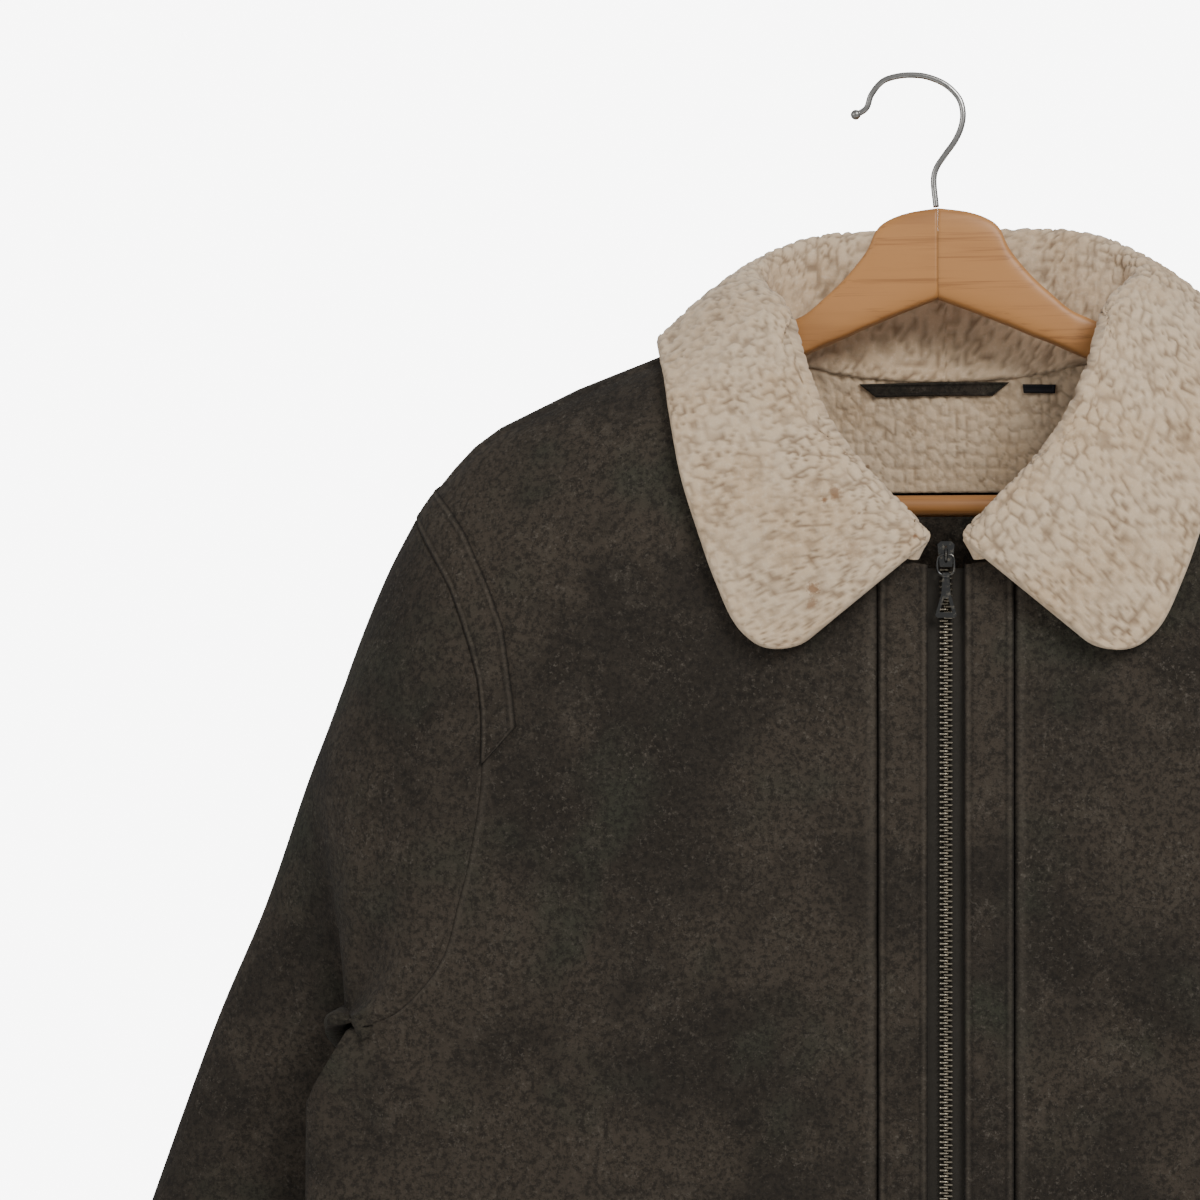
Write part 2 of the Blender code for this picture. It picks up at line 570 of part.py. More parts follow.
def neck_inside(pile, leather, label, garment):
    """The pile yoke inside the back of the neck, and on it the hang loop's tab and a bare size tab."""
    x = np.linspace(-YOKE_HALF, YOKE_HALF, 15)
    seam_x, seam_z = np.array(NECK_BACK[::-1], float).T
    top = np.interp(np.abs(x), seam_x, seam_z)
    v = np.linspace(0, 1, 8)[:, None]
    z = (top - 1.5) * (1 - v) + YOKE_BOTTOM * v
    xx = np.repeat(x[None], 8, axis=0)

    def within(x, z, depth):
        drop = shoulder_z(x) - z
        return body_point(x, drop, 1) - body_normal(x, drop, 1) * depth

    behind = WALL + SEAM_GAP + 0.4
    outer, inner = within(xx, z, behind), within(xx, z, behind + YOKE_PILE)
    place("neck_yoke", wall_mesh("neck_yoke", outer, inner), pile, garment)

    def tab(name, left, right, top_z, low_z, narrow, finish):
        u = np.linspace(0, 1, 7)[None]
        w = np.linspace(0, 1, 3)[:, None]
        inset = narrow * w
        x_tab = (left + inset) * (1 - u) + (right - inset) * u
        z_tab = top_z + (low_z - top_z) * w + 0 * u
        behind_tab = behind + YOKE_PILE + SEAM_GAP + TAB_OFF
        far, near = within(x_tab, z_tab, behind_tab), within(x_tab, z_tab, behind_tab + TAB_THICK)
        place(name, wall_mesh(name, far, near), finish, garment)

    tab("hang_loop", -44, 32, -149.5, -156.5, 8.5, leather)
    tab("size_tab", 38.5, 55, -150.5, -155, 0.5, label)


def hanger_arm(side, sign, wood, garment):
    """One wooden arm: rounded sections from the mitre at the middle out to the end that holds the bar."""
    rows = list(ARM)
    for x, top, low in ARM_HIDDEN:
        rows.append((x, top or shoulder_z(sign * x + HANGER_X) - WALL - ARM_CLEAR, low))
    rows = np.array(rows, float)
    thick = np.where(rows[:, 0] > ARM[-1][0], WOOD_HIDDEN_HALF, WOOD_HALF)
    angle = np.linspace(0, 2 * math.pi, 16, endpoint=False)
    shape_y = np.sign(np.cos(angle)) * np.abs(np.cos(angle)) ** 0.62
    shape_z = np.sign(np.sin(angle)) * np.abs(np.sin(angle)) ** 0.95
    middle, half = (rows[:, 1] + rows[:, 2]) / 2, (rows[:, 1] - rows[:, 2]) / 2
    x = np.repeat(rows[:, :1], len(angle), axis=1)
    outer = np.stack([x * sign + HANGER_X, shape_y[None] * thick[:, None],
                      middle[:, None] + half[:, None] * shape_z], axis=2)
    mesh = bpy.data.meshes.new(f"hanger_arm_{side}")
    count = len(angle)
    faces = []
    for r in range(len(rows) - 1):
        for c in range(count):
            n = (c + 1) % count
            faces.append((r * count + c, (r + 1) * count + c, (r + 1) * count + n, r * count + n))
    faces.append(tuple(range(count)))
    faces.append(tuple(range((len(rows) - 1) * count, len(rows) * count))[::-1])
    mesh.from_pydata((outer.reshape(-1, 3) * MM).tolist(), [], faces)
    tidy_faces(mesh)
    return place(f"hanger_arm_{side}", mesh, wood, garment)


def tidy_faces(mesh):
    build = bmesh.new()
    build.from_mesh(mesh)
    bmesh.ops.triangulate(build, faces=[face for face in build.faces if len(face.verts) > 4])
    bmesh.ops.recalc_face_normals(build, faces=build.faces)
    build.to_mesh(mesh)
    build.free()
    mesh.shade_smooth()


def rod(name, points, radius, finish, parent, sides=2, cyclic=False, swell=None):
    """A round bar along points in mm; swell gives the points where it is thicker."""
    line = bpy.data.curves.new(name, "CURVE")
    line.dimensions = "3D"
    line.bevel_depth = radius * MM
    line.bevel_resolution = sides
    line.use_fill_caps = True
    run = line.splines.new("POLY")
    run.points.add(len(points) - 1)
    run.use_cyclic_u = cyclic
    for k, (x, y, z) in enumerate(points):
        run.points[k].co = (x * MM, y * MM, z * MM, 1)
        run.points[k].radius = (swell or {}).get(k, 1.0)
    made = bpy.data.objects.new(name, line)
    line.materials.append(finish)
    bpy.context.collection.objects.link(made)
    made.parent = parent
    return made


def hanger(wood, steel, garment):
    for side, sign in SIDES:
        hanger_arm(side, sign, wood, garment)
    left, right = (HANGER_X + sign * BAR_HALF for sign in (-1, 1))
    bar = [(x, BAR_Y, BAR_Z) for x in np.linspace(left, right, 3)]
    rod("trouser_bar", bar, BAR_RADIUS, wood, garment, sides=4)
    route = spline([(x, 0, z) for x, z in HOOK], 42)
    swell = {0: 1.45, 1: 1.7, 2: 1.45}
    rod("hanger_hook", route, HOOK_WIRE, steel, None, sides=1, swell=swell)


def zip_pull(metal, garment):
    """The slider under the collar, its ring and the pull tab, hung from each other."""
    face = float(front_y(np.array([0.0]), np.array([SLIDER_Z]))[0])
    plate_y = face + WALL
    body = bpy.data.meshes.new("zip_slider")
    build = bmesh.new()
    high, wide = SLIDER_HIGH / 2, SLIDER_WIDE / 2
    outline = [(-wide, high - 1.5), (-wide + 1.5, high), (wide - 1.5, high), (wide, high - 1.5),
               (wide * 0.72, -high), (-wide * 0.72, -high)]
    front_of = plate_y - SLIDER_DEEP
    corners = [build.verts.new((x * MM, front_of * MM, (SLIDER_Z + z) * MM)) for x, z in outline]
    thicken(build, [build.faces.new(corners)], SLIDER_DEEP, body)
    slider = place("zip_slider", body, metal, garment)
    turn = np.linspace(0, math.pi, 9)
    out = BRIDGE_OUT + 0.6
    arch = [(0, front_of + 0.6 - out * math.sin(t), SLIDER_Z + BRIDGE_HIGH * math.cos(t)) for t in turn]
    bridge = rod("slider_bridge", arch, BRIDGE_WIRE, metal, garment, sides=1)
    bpy.context.view_layer.update()
    graph = bpy.context.evaluated_depsgraph_get()
    cutter = bpy.data.meshes.new_from_object(bridge.evaluated_get(graph))
    bpy.data.objects.remove(bridge, do_unlink=True)
    join_to(slider, place("slider_bridge", cutter, metal, garment))
    axis_y, axis_z = front_of - BRIDGE_OUT + BRIDGE_WIRE + RING_WIRE + SEAM_GAP, SLIDER_Z
    half_wide, half_high = RING_WIDE / 2 - RING_WIRE, RING_HIGH / 2 - RING_WIRE
    ring_middle = axis_z - half_high
    ring = []
    for cx, cz, start in ((1, 1, 0), (-1, 1, 90), (-1, -1, 180), (1, -1, 270)):
        for step in range(5):
            t = math.radians(start + step * 22.5)
            ring.append((cx * (half_wide - RING_CORNER) + RING_CORNER * math.cos(t), axis_y,
                         ring_middle + cz * (half_high - RING_CORNER) + RING_CORNER * math.sin(t)))
    rod("pull_ring", ring, RING_WIRE, metal, garment, sides=1, cyclic=True)
    pull_tab(axis_y, ring_middle - half_high, metal, garment)


def thicken(build, faces, depth, mesh):
    """Pushes flat faces back by depth into one closed body, and stores it in the mesh."""
    pushed = bmesh.ops.extrude_face_region(build, geom=faces)["geom"]
    moved = [item for item in pushed if isinstance(item, bmesh.types.BMVert)]
    bmesh.ops.translate(build, vec=(0, depth * MM, 0), verts=moved)
    bmesh.ops.recalc_face_normals(build, faces=build.faces)
    build.to_mesh(mesh)
    build.free()


def join_to(target, helper):
    """Joins a helper's solid to the target with a Boolean, and keeps the helper out of the model."""
    helper.hide_render = True
    helper.display_type = "WIRE"
    join = target.modifiers.new(helper.name, "BOOLEAN")
    join.operation = "UNION"
    join.solver = "EXACT"
    join.object = helper


def pull_tab(y, z, metal, garment):
    """A flat tab that flares to its foot, with a window, curled at its top round the ring's lower bar."""
    tab = bpy.data.meshes.new("pull_tab")
    build = bmesh.new()
    top, foot = z - CURL_OUT * 0.6, z - TAB_LONG
    side = [(TAB_TOP / 2, top), (TAB_TOP / 2 + 0.6, z - TAB_LONG * 0.45), (TAB_FOOT / 2, foot + 1.2),
            (TAB_FOOT / 2 - 1.0, foot)]
    outline = side + [(-x, zz) for x, zz in side[::-1]]
    window = [(1.0, z - TAB_LONG * 0.55), (TAB_FOOT / 2 - 2.0, foot + 2.6)]
    window += [(-x, zz) for x, zz in window[::-1]]
    loops = []
    for loop in (outline, window):
        verts = [build.verts.new((x * MM, (y - TAB_PLATE / 2) * MM, zz * MM)) for x, zz in loop]
        loops += [build.edges.new(pair) for pair in zip(verts, verts[1:] + verts[:1])]
    filled = bmesh.ops.triangle_fill(build, edges=loops, use_beauty=True)["geom"]
    thicken(build, [item for item in filled if isinstance(item, bmesh.types.BMFace)], TAB_PLATE, tab)
    made = place("pull_tab", tab, metal, garment)
    angle = np.linspace(0, 2 * math.pi, 16, endpoint=False)
    bore = RING_WIRE + SEAM_GAP

    def tube(radius):
        across = np.array([-TAB_TOP / 2, TAB_TOP / 2])
        x = np.repeat(across[:, None], len(angle), axis=1)
        round_y, round_z = y + radius * np.cos(angle), z + radius * np.sin(angle)
        return np.stack([x, np.tile(round_y, (2, 1)), np.tile(round_z, (2, 1))], axis=2)

    curl = wall_mesh("tab_curl", tube(CURL_OUT), tube(bore), closed=True)
    join_to(made, place("tab_curl", curl, metal, garment))


def main():
    clear_scene()
    garment = empty("garment", GARMENT_X)
    leather = material("brown suede", (0.045, 0.034, 0.024), 0.75)
    pile = material("cream shearling pile", (0.62, 0.5, 0.38), 0.95)
    tape = material("zip tape", (0.03, 0.025, 0.02), 0.85)
    metal = material("antique zip metal", (0.5, 0.46, 0.38), 0.35, 1.0)
    label = material("dark label cloth", (0.02, 0.02, 0.02), 0.8)
    wood = material("honey wood", (0.42, 0.18, 0.06), 0.4)
    steel = material("dark hook steel", (0.2, 0.2, 0.2), 0.3, 1.0)
    body_panels(leather, garment)
    armhole_bands(leather, garment)
    front_edges(leather, tape, metal, garment)
    collar(pile, garment)
    neck_inside(pile, leather, label, garment)
    hanger(wood, steel, garment)
    zip_pull(metal, garment)


main()
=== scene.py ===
"""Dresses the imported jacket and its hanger: suede shells, curly pile, a metal zip and a wooden hanger.

Run as a script it builds every piece over the frame, in metres, in the frame's own axes: +Z up, the
jacket faces -Y. The tables below are in millimetres in the garment's frame, whose middle plane is
x = 0, and most give one half that is mirrored. Left and right are the viewer's.
"""

import itertools
import math

import bpy
import numpy as np
from bpy.props import FloatProperty, FloatVectorProperty, IntProperty, PointerProperty
from bpy.types import Operator, Panel, PropertyGroup
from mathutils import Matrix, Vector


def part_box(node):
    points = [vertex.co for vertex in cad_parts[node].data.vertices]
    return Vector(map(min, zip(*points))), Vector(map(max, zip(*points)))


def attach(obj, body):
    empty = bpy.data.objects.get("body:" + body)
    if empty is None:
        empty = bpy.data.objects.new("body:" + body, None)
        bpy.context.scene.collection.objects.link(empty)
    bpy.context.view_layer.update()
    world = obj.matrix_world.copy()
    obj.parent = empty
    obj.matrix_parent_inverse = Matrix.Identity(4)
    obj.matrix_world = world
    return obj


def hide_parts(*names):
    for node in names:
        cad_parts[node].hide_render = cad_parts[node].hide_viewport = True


bl_info = {
    "name": "Shearling jacket on a hanger",
    "version": (1, 0, 0),
    "blender": (4, 5, 0),
    "location": "View3D > Sidebar > Jacket",
    "description": "Makes the cloth, pile, zip and hanger over the packed solids",
    "category": "Object",
}

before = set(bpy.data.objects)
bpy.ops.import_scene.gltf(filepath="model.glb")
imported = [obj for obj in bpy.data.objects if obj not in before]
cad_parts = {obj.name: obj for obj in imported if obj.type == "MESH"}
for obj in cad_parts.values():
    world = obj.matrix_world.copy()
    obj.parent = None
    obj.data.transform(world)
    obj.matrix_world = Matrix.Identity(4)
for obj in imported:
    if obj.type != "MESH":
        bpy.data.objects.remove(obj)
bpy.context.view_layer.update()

MM = 0.001  # metres in a millimetre
BODY = "jacket_and_hanger"  # the body that every piece but the pull rides on
SIDES = (("left", -1), ("right", 1))
GARMENT_X = 14.0  # the garment's middle plane in the world
HANGER_X = -4.0  # the hanger's middle, seen from the garment's
SEAM_GAP = 0.3  # between sewn pieces
WALL = 3.0  # leather with its lining
HEM_Z = -830.0
CHEST_DEPTH = 58.0  # fronts, forward of the middle plane
BACK_DEPTH = 38.0  # back, behind it
RIDGE_RADIUS = 12.0  # of the fold over the shoulder
SIDE_Y = -30.0  # side seam: y, then x
SIDE_X = 313.0
UNDERARM = (291.0, -470.0)
PLACKET_EDGE = 8.5  # placket strip's edge at the zip
PLACKET_SEAM = 31.5  # and at the front's seam
PILE = 7.0  # collar's thickness
YOKE_PILE = 5.0
YOKE_HALF = 80.0
YOKE_BOTTOM = -205.5
ARMPIT_EASE = 3.0  # how much further the sleeve's gap opens at the underarm
COLLAR_EASE = 3.4  # collar stand's start off the neck seam
LEAF_CLEAR = 1.8  # leaf off the body, in half thicknesses of pile
LEAF_LIFT = 5.5  # how far the leaf's roll swells
BAND_THICK = 2.0
BAND_OFF = 0.5  # armhole band off the body
PLACKET_RISE = 1.2  # placket above the fronts
PLACKET_TOP = -243.0
ZIP_TOP = -244.5
TAPE = 1.0  # zip tape's thickness
CHAIN_HALF = 3.0  # zip teeth: half width
CHAIN_DEEP = 2.6  # and depth
ARM_CLEAR = 2.2  # wood under the shoulder's lining
WOOD_HALF = 8.0  # arm's half thickness in sight
WOOD_HIDDEN_HALF = 6.2  # and under the cloth
BAR_RADIUS = 5.3
BAR_HALF = 197.5
BAR_Z = -213.5
BAR_Y = -2.0
HOOK_WIRE = 1.5  # radius
RING_WIRE = 0.6  # radius
SLIDER_Z = -238.0  # slider's middle
SLIDER_HIGH = 12.0

# Shoulder line: x, z
SHOULDER = ((0, -78), (60, -105), (100, -121), (137, -136.6), (182, -154), (221, -172.7),
            (234, -182), (244, -192.5), (253.5, -204), (264, -218.7), (275, -240))
# Armhole seam, shoulder to underarm: x, z
ARMHOLE = ((264, -218.7), (252, -236), (241, -252), (234, -268), (227.6, -286), (223.8, -300.5),
           (222.2, -318), (222.2, -340), (224, -360), (229, -386), (235, -408), (243, -435),
           (265, -460), UNDERARM)
# Side seam from the underarm to the hem: x, z
SIDE_SEAM = (UNDERARM, (302, -488), (310, -502), (SIDE_X, -520), (SIDE_X, -620), (311, -730),
             (309, HEM_Z))
# Neck seam of a front panel, shoulder to placket: x, z
NECK_FRONT = ((101, -121.4), (99, -140), (92, -164), (80, -190), (63, -214), (46, -230),
              (PLACKET_SEAM + 0.6, -238))
# Neck seam of the back, shoulder to middle: x, z
NECK_BACK = ((101, -121.4), (93, -129.5), (70, -139), (38, -145.5), (0, -147.5))
# Armhole band's inner seam from the shoulder to its corner, then its point: x, z
BAND_INNER = ((253.5, -204), (241, -216.5), (230, -231.5), (223, -246), (216, -260.5), (211, -274),
              (209, -287), (207, -301), (205, -313), (204.6, -320.5), (222.5, -340.4))
# Soft folds of the fronts: middle x, z, angle from level, half length, half width, depth into the cloth
FOLDS = (
    (-196, -455, 62, 80, 16, 4.5),
    (-262, -430, 48, 62, 14, 6.0),
    (-66, -455, 34, 48, 15, 3.5),
    (-120, -560, 82, 120, 22, 4.0),
    (-232, -640, 84, 130, 24, 5.0),
    (-90, -730, 78, 90, 24, 3.5),
    (98, -470, -32, 60, 16, 4.0),
    (205, -440, -60, 84, 17, 5.0),
    (262, -436, -48, 58, 14, 6.0),
    (140, -600, -80, 120, 22, 4.0),
    (236, -660, -86, 120, 24, 4.5),
    (80, -740, -80, 84, 22, 3.0),
)
# Sleeve rings: outer edge x, y, z; inner edge x, y, z; half depth
SLEEVE_RINGS = (
    (266, 0, -221, 291, -30, -471, 52),
    (280, 2, -247, 302, -24, -471, 50),
    (294, 6, -279, 308, 2, -480, 45),
    (309, 12, -318, 297, 24, -496, 39),
    (325, 20, -354, 279, 38, -511, 34),
    (350, 30, -418, 249, 45, -545, 30),
    (378, 36, -480, 243, 48, -572, 28),
    (411, 38, -568, 270, 48, -632, 28),
    (440, 38, -650, 306, 46, -706, 28),
    (467, 36, -736, 344, 42, -783, 27),
    (491, 34, -818, 376, 38, -862, 26),
)
# Folds of the sleeves: share of the length, angle round the ring, width, depth
SLEEVE_FOLDS = ((0.16, 210, 9, 5.0), (0.30, 255, 7, 4.0), (0.46, 225, 6, 3.5), (0.62, 262, 6, 3.0),
                (0.80, 235, 6, 3.0))
# Collar sections from the front end to the middle of the back:
# seam x, z (seam y is the body's); roll x, y, z; outer edge x, y, z; the leaf's direction off the body
COLLAR = (
    (14, -243, 9, -62, -233, 77, -62.5, -289, 0, -1, 0),
    (27, -240, 18, -63, -222, 97, -62.5, -273, 0, -1, 0),
    (45, -231, 32, -63, -208, 108, -62, -251, 0, -1, 0),
    (63, -214, 47, -59, -191, 117, -60, -226, 0, -1, 0),
    (80, -190, 60, -51, -171, 125, -54, -201, 0, -1, 0),
    (92, -164, 70, -40, -146, 131, -43, -174, 0.2, -0.9, 0.3),
    (99, -140, 78, -24, -121, 136, -26, -151, 0.3, -0.7, 0.6),
    (101, -121.4, 93, 2, -103, 142, 1, -133.5, 0.3, 0, 0.95),
    (93, -129.5, 87, 22, -90, 130, 27, -141, 0.2, 0.7, 0.6),
    (70, -139, 70, 34, -81, 94, 45, -143, 0, 1, 0.1),
    (38, -145.5, 46, 42, -77.5, 52, 53, -140, 0, 1, 0.1),
    (0, -147.5, 0, 46, -77.5, 0, 57, -138, 0, 1, 0.1),
)
# Hanger arm, in the hanger's half frame: x, top z, bottom z; the top is the shoulder's past the last top
ARM = ((0.15, -67.5, -111.7), (14, -69.5, -117), (24, -73, -121), (30, -78, -123.5), (35, -88.5, -125.5),
       (45, -101, -130), (55, -110.5, -134), (66, -119.5, -139))
# Its hidden stretch, under the cloth: x, top z or 0 for close under the shoulder, bottom z
ARM_HIDDEN = ((84, -127.5, -147), (108, -137, -157), (130, 0, -166), (160, 0, -178), (185, 0, -189),
              (197, 0, -194), (198.5, 0, -221), (207, -180, -223), (214, -187, -212))
# Hook wire, in the world frame, from the ball to the wood: x, z
HOOK = ((-32.3, -21.3), (-25.2, -17.5), (-22.4, -10.5), (-17, -4.2), (-9.5, -1.8), (-1.5, -1.5), (5.7, -2.8),
        (13.8, -6.6), (20, -13), (22.2, -20), (21.5, -27), (18.5, -34), (13.5, -41), (9.3, -47.5),
        (8, -54), (9.2, -66.6))

TIP_ROUND = 18.0  # the collar's corners
GRAIN_SLOPE = 24.5  # degrees that the arms' grain falls from level
# Stains on the left leaf: x, z, size, how strong
STAINS = ((-51.2, -209.7, 5.2, 0.7), (-56.3, -213, 2.4, 0.8), (-61.4, -254.4, 5.6, 0.75),
          (-62.3, -261.4, 4.6, 0.5), (-42.4, -236.3, 9.0, 0.3), (-14.2, -229.9, 2.2, 0.7),
          (-39.1, -192.2, 2.0, 0.55))
# Rows down the armhole, at shares of it, fine over the shoulder; then rows down the side seam
ARM_ROWS = np.array([0, 0.012, 0.03, 0.055, 0.09, 0.14, 0.2, 0.27, 0.35, 0.44, 0.54, 0.65, 0.77, 0.89, 1.0])
ARM_COUNT, SIDE_COUNT = len(ARM_ROWS), 13
NECK_ROWS = 9  # how many of them start at the neck seam
# Creases pressed into the suede: x, z of the middle, angle from level, half length, half width, depth, bend
CREASES = (
    (-196, -455, 62, 62, 6.5, 1.6, 10),
    (-240, -400, 50, 44, 5.5, 1.3, -6),
    (-262, -442, 47, 50, 6.0, 1.8, 6),
    (-150, -392, 8, 40, 5.0, 0.7, 3),
    (-118, -448, -6, 46, 5.0, 0.7, -4),
    (-72, -468, 33, 34, 5.0, 1.2, 6),
    (-176, -505, 74, 54, 6.5, 1.3, -8),
    (-110, -560, 80, 80, 7.0, 1.2, 8),
    (-226, -620, 84, 90, 7.0, 1.3, -8),
    (-60, -620, 12, 30, 5.0, 0.8, 4),
    (88, -466, -30, 36, 5.0, 1.5, 5),
    (60, -492, -38, 26, 4.5, 1.0, -4),
    (140, -420, -14, 44, 5.0, 0.8, 4),
    (205, -446, -58, 62, 6.5, 1.5, 8),
    (262, -442, -47, 50, 6.0, 1.6, -6),
    (150, -590, -80, 84, 7.0, 1.3, 8),
    (236, -640, -86, 80, 7.0, 1.2, -6),
)
# The same on the sleeves' fronts, mirrored on the right: x, z, angle, half length, half width, depth, bend
SLEEVE_CREASES = (
    (-252, -318, -70, 34, 5.0, 1.0, 6),
    (-268, -352, -66, 46, 6.0, 1.5, -8),
    (-290, -402, 62, 44, 6.0, 1.2, 8),
    (-322, -440, 66, 50, 7.0, 1.5, -10),
    (-306, -500, 30, 46, 6.0, 1.4, 8),
    (-352, -540, 60, 56, 7.0, 1.5, -8),
    (-300, -580, 22, 44, 6.0, 1.3, 6),
    (-372, -640, 40, 50, 6.5, 1.5, 6),
    (-340, -700, 24, 46, 6.0, 1.4, -6),
    (-412, -740, 36, 44, 6.0, 1.3, 6),
)


def bell(far, width, middle=0.0):
    """1 at the middle distance, falling away over the width."""
    return np.exp(-(((far - middle) / width) ** 2))


def spline(points, count=None, at=None):
    """Points along a Catmull-Rom curve through a table's rows, evenly by length or at shares of it."""
    rows = np.asarray(points, float)
    ends = np.vstack([2 * rows[0] - rows[1], rows, 2 * rows[-1] - rows[-2]])
    fine = []
    for a, b, c, d in zip(ends, ends[1:], ends[2:], ends[3:]):
        t = np.linspace(0, 1, 16, endpoint=False)[:, None]
        fine.append(0.5 * (2 * b + (c - a) * t + (2 * a - 5 * b + 4 * c - d) * t**2
                           + (3 * b - a - 3 * c + d) * t**3))
    fine = np.vstack([*fine, rows[-1:]])
    length = np.concatenate([[0], np.cumsum(np.linalg.norm(np.diff(fine, axis=0), axis=1))])
    at = np.linspace(0, 1, count) if at is None else np.asarray(at)
    return np.stack([np.interp(at * length[-1], length, axis) for axis in fine.T], axis=1)


def through(points, at):
    """A table read between its rows along a Catmull-Rom curve, where row k stands at k."""
    rows = np.asarray(points, float)
    at = np.clip(np.asarray(at, float), 0, len(rows) - 1)
    k = np.minimum(at.astype(int), len(rows) - 2)
    t = (at - k)[:, None]
    before, after = rows[np.maximum(k - 1, 0)], rows[np.minimum(k + 2, len(rows) - 1)]
    a, b = rows[k], rows[k + 1]
    return 0.5 * (2 * a + (b - before) * t + (2 * before - 5 * a + 4 * b - after) * t**2
                  + (3 * a - before - 3 * b + after) * t**3)


def straight(points, at):
    """A table read between its rows in straight lines, where row k stands at k."""
    rows = np.asarray(points, float)
    return np.stack([np.interp(at, np.arange(len(rows)), axis) for axis in rows.T], axis=1)


def shoulder_z(x):
    table = np.array(SHOULDER, float)
    return np.interp(np.abs(x), table[:, 0], table[:, 1])


def reach(x, z, depth):
    """The cloth's distance from the middle plane: half round over the shoulder, then out to its depth."""
    drop = np.maximum(shoulder_z(x) - z, 0.0)
    ridge = RIDGE_RADIUS * np.sqrt(1 - (1 - np.minimum(drop, RIDGE_RADIUS) / RIDGE_RADIUS) ** 2)
    ease = 32 + 26 * np.clip((np.abs(x) - 150) / 100, 0, 1)
    return ridge + (depth - RIDGE_RADIUS) * (1 - np.exp(-np.maximum(drop - 5, 0) / ease))


def roundness(x, z, power):
    """1 on the flat of a panel, falling to 0 at the side fold."""
    edge = np.interp(z, [-520, UNDERARM[1], -380, -300], [SIDE_X + 1, SIDE_X + 6, SIDE_X + 130, SIDE_X * 6])
    return (1 - np.clip(np.abs(x) / edge, 0, 1) ** power) ** (1 / power)


def folds(x, z):
    """The soft folds' depth: for each, a bell along its line times a bell across it."""
    total = np.zeros(np.broadcast(x, z).shape)
    for middle_x, middle_z, angle, half_length, half_width, depth in FOLDS:
        c, s = math.cos(math.radians(angle)), math.sin(math.radians(angle))
        along = (x - middle_x) * c + (z - middle_z) * s
        across = (z - middle_z) * c - (x - middle_x) * s
        total += depth * np.exp(-((along / half_length) ** 2) - (across / half_width) ** 2)
    return total


def creases(x, z, table):
    """Depth of the creases: across each bent line a narrow valley with a low swell on either side."""
    total = np.zeros(np.broadcast(x, z).shape)
    for middle_x, middle_z, angle, half_length, half_width, depth, bend in table:
        c, s = math.cos(math.radians(angle)), math.sin(math.radians(angle))
        along = ((x - middle_x) * c + (z - middle_z) * s) / half_length
        across = ((z - middle_z) * c - (x - middle_x) * s - bend * (along**2 - 0.5)) / half_width
        total += depth * (1.0 - 0.9 * across**2) * np.exp(-(along**2) - across**2)
    return total


def front_y(x, z):
    flat = -reach(x, z, CHEST_DEPTH)
    q = roundness(x, z, 3.2)
    side = np.clip((np.abs(x) - 20) / 40, 0, 1)
    return SIDE_Y * (1 - q) + flat * q + folds(x, z) * side * q


def back_y(x, z):
    q = roundness(x, z, 2.0)
    return SIDE_Y * (1 - q) + reach(x, z, BACK_DEPTH) * q


def normals(grid, closed=False):
    """Unit normals of a grid of points, from its rows and columns."""
    if closed:
        along = np.roll(grid, -1, axis=1) - np.roll(grid, 1, axis=1)
    else:
        along = np.gradient(grid, axis=1)
    cross = np.cross(along, np.gradient(grid, axis=0))
    return cross / np.maximum(np.linalg.norm(cross, axis=2, keepdims=True), 1e-9)


def facing(grid, sign):
    """Normals turned so that their y has the given sign on most of the grid."""
    found = normals(grid)
    return found if np.sum(found[..., 1]) * sign > 0 else -found


def mirror(grid, sign):
    return grid * np.array([sign, 1, 1])


def edge_shares(width, step, both=True):
    """Shares of a width in mm: even steps, with finer ones close to its edges."""
    close = np.array([0, 0.6, 1.2, 1.9, 2.7, 3.6, 4.7, 6.0, 7.6]) / width
    even = np.arange(10, width - 10 if both else width, step) / width
    found = np.concatenate([close, even, (1 - close) if both else [1.0]])
    return np.unique(np.round(found, 6))


def from_edges(grid, sides):
    """Distance in mm from a grid's named edges: top and foot rows, first and last columns."""
    down = np.linalg.norm(np.diff(grid, axis=0), axis=2).cumsum(axis=0)
    down = np.vstack([np.zeros((1, grid.shape[1])), down])
    over = np.linalg.norm(np.diff(grid, axis=1), axis=2).cumsum(axis=1)
    over = np.hstack([np.zeros((grid.shape[0], 1)), over])
    choice = {"top": down, "foot": down[-1:] - down, "first": over, "last": over[:, -1:] - over}
    return np.minimum.reduce([choice[side] for side in sides])


def quads_of(rows, columns, closed):
    """Corners of the quads of a shell between two grids of points, the second numbered after the first."""
    top = np.arange(rows * columns).reshape(rows, columns)
    low = top + rows * columns
    if closed:
        top, low = (np.hstack([sheet, sheet[:, :1]]) for sheet in (top, low))
    made = [
        (top[:-1, :-1], top[1:, :-1], top[1:, 1:], top[:-1, 1:]),
        (low[:-1, :-1], low[:-1, 1:], low[1:, 1:], low[1:, :-1]),
        (top[0, :-1], top[0, 1:], low[0, 1:], low[0, :-1]),
        (top[-1, 1:], top[-1, :-1], low[-1, :-1], low[-1, 1:]),
    ]
    if not closed:
        made.append((top[1:, 0], top[:-1, 0], low[:-1, 0], low[1:, 0]))
        made.append((top[:-1, -1], top[1:, -1], low[1:, -1], low[:-1, -1]))
    return np.concatenate([np.stack([corner.ravel() for corner in face], axis=1) for face in made])


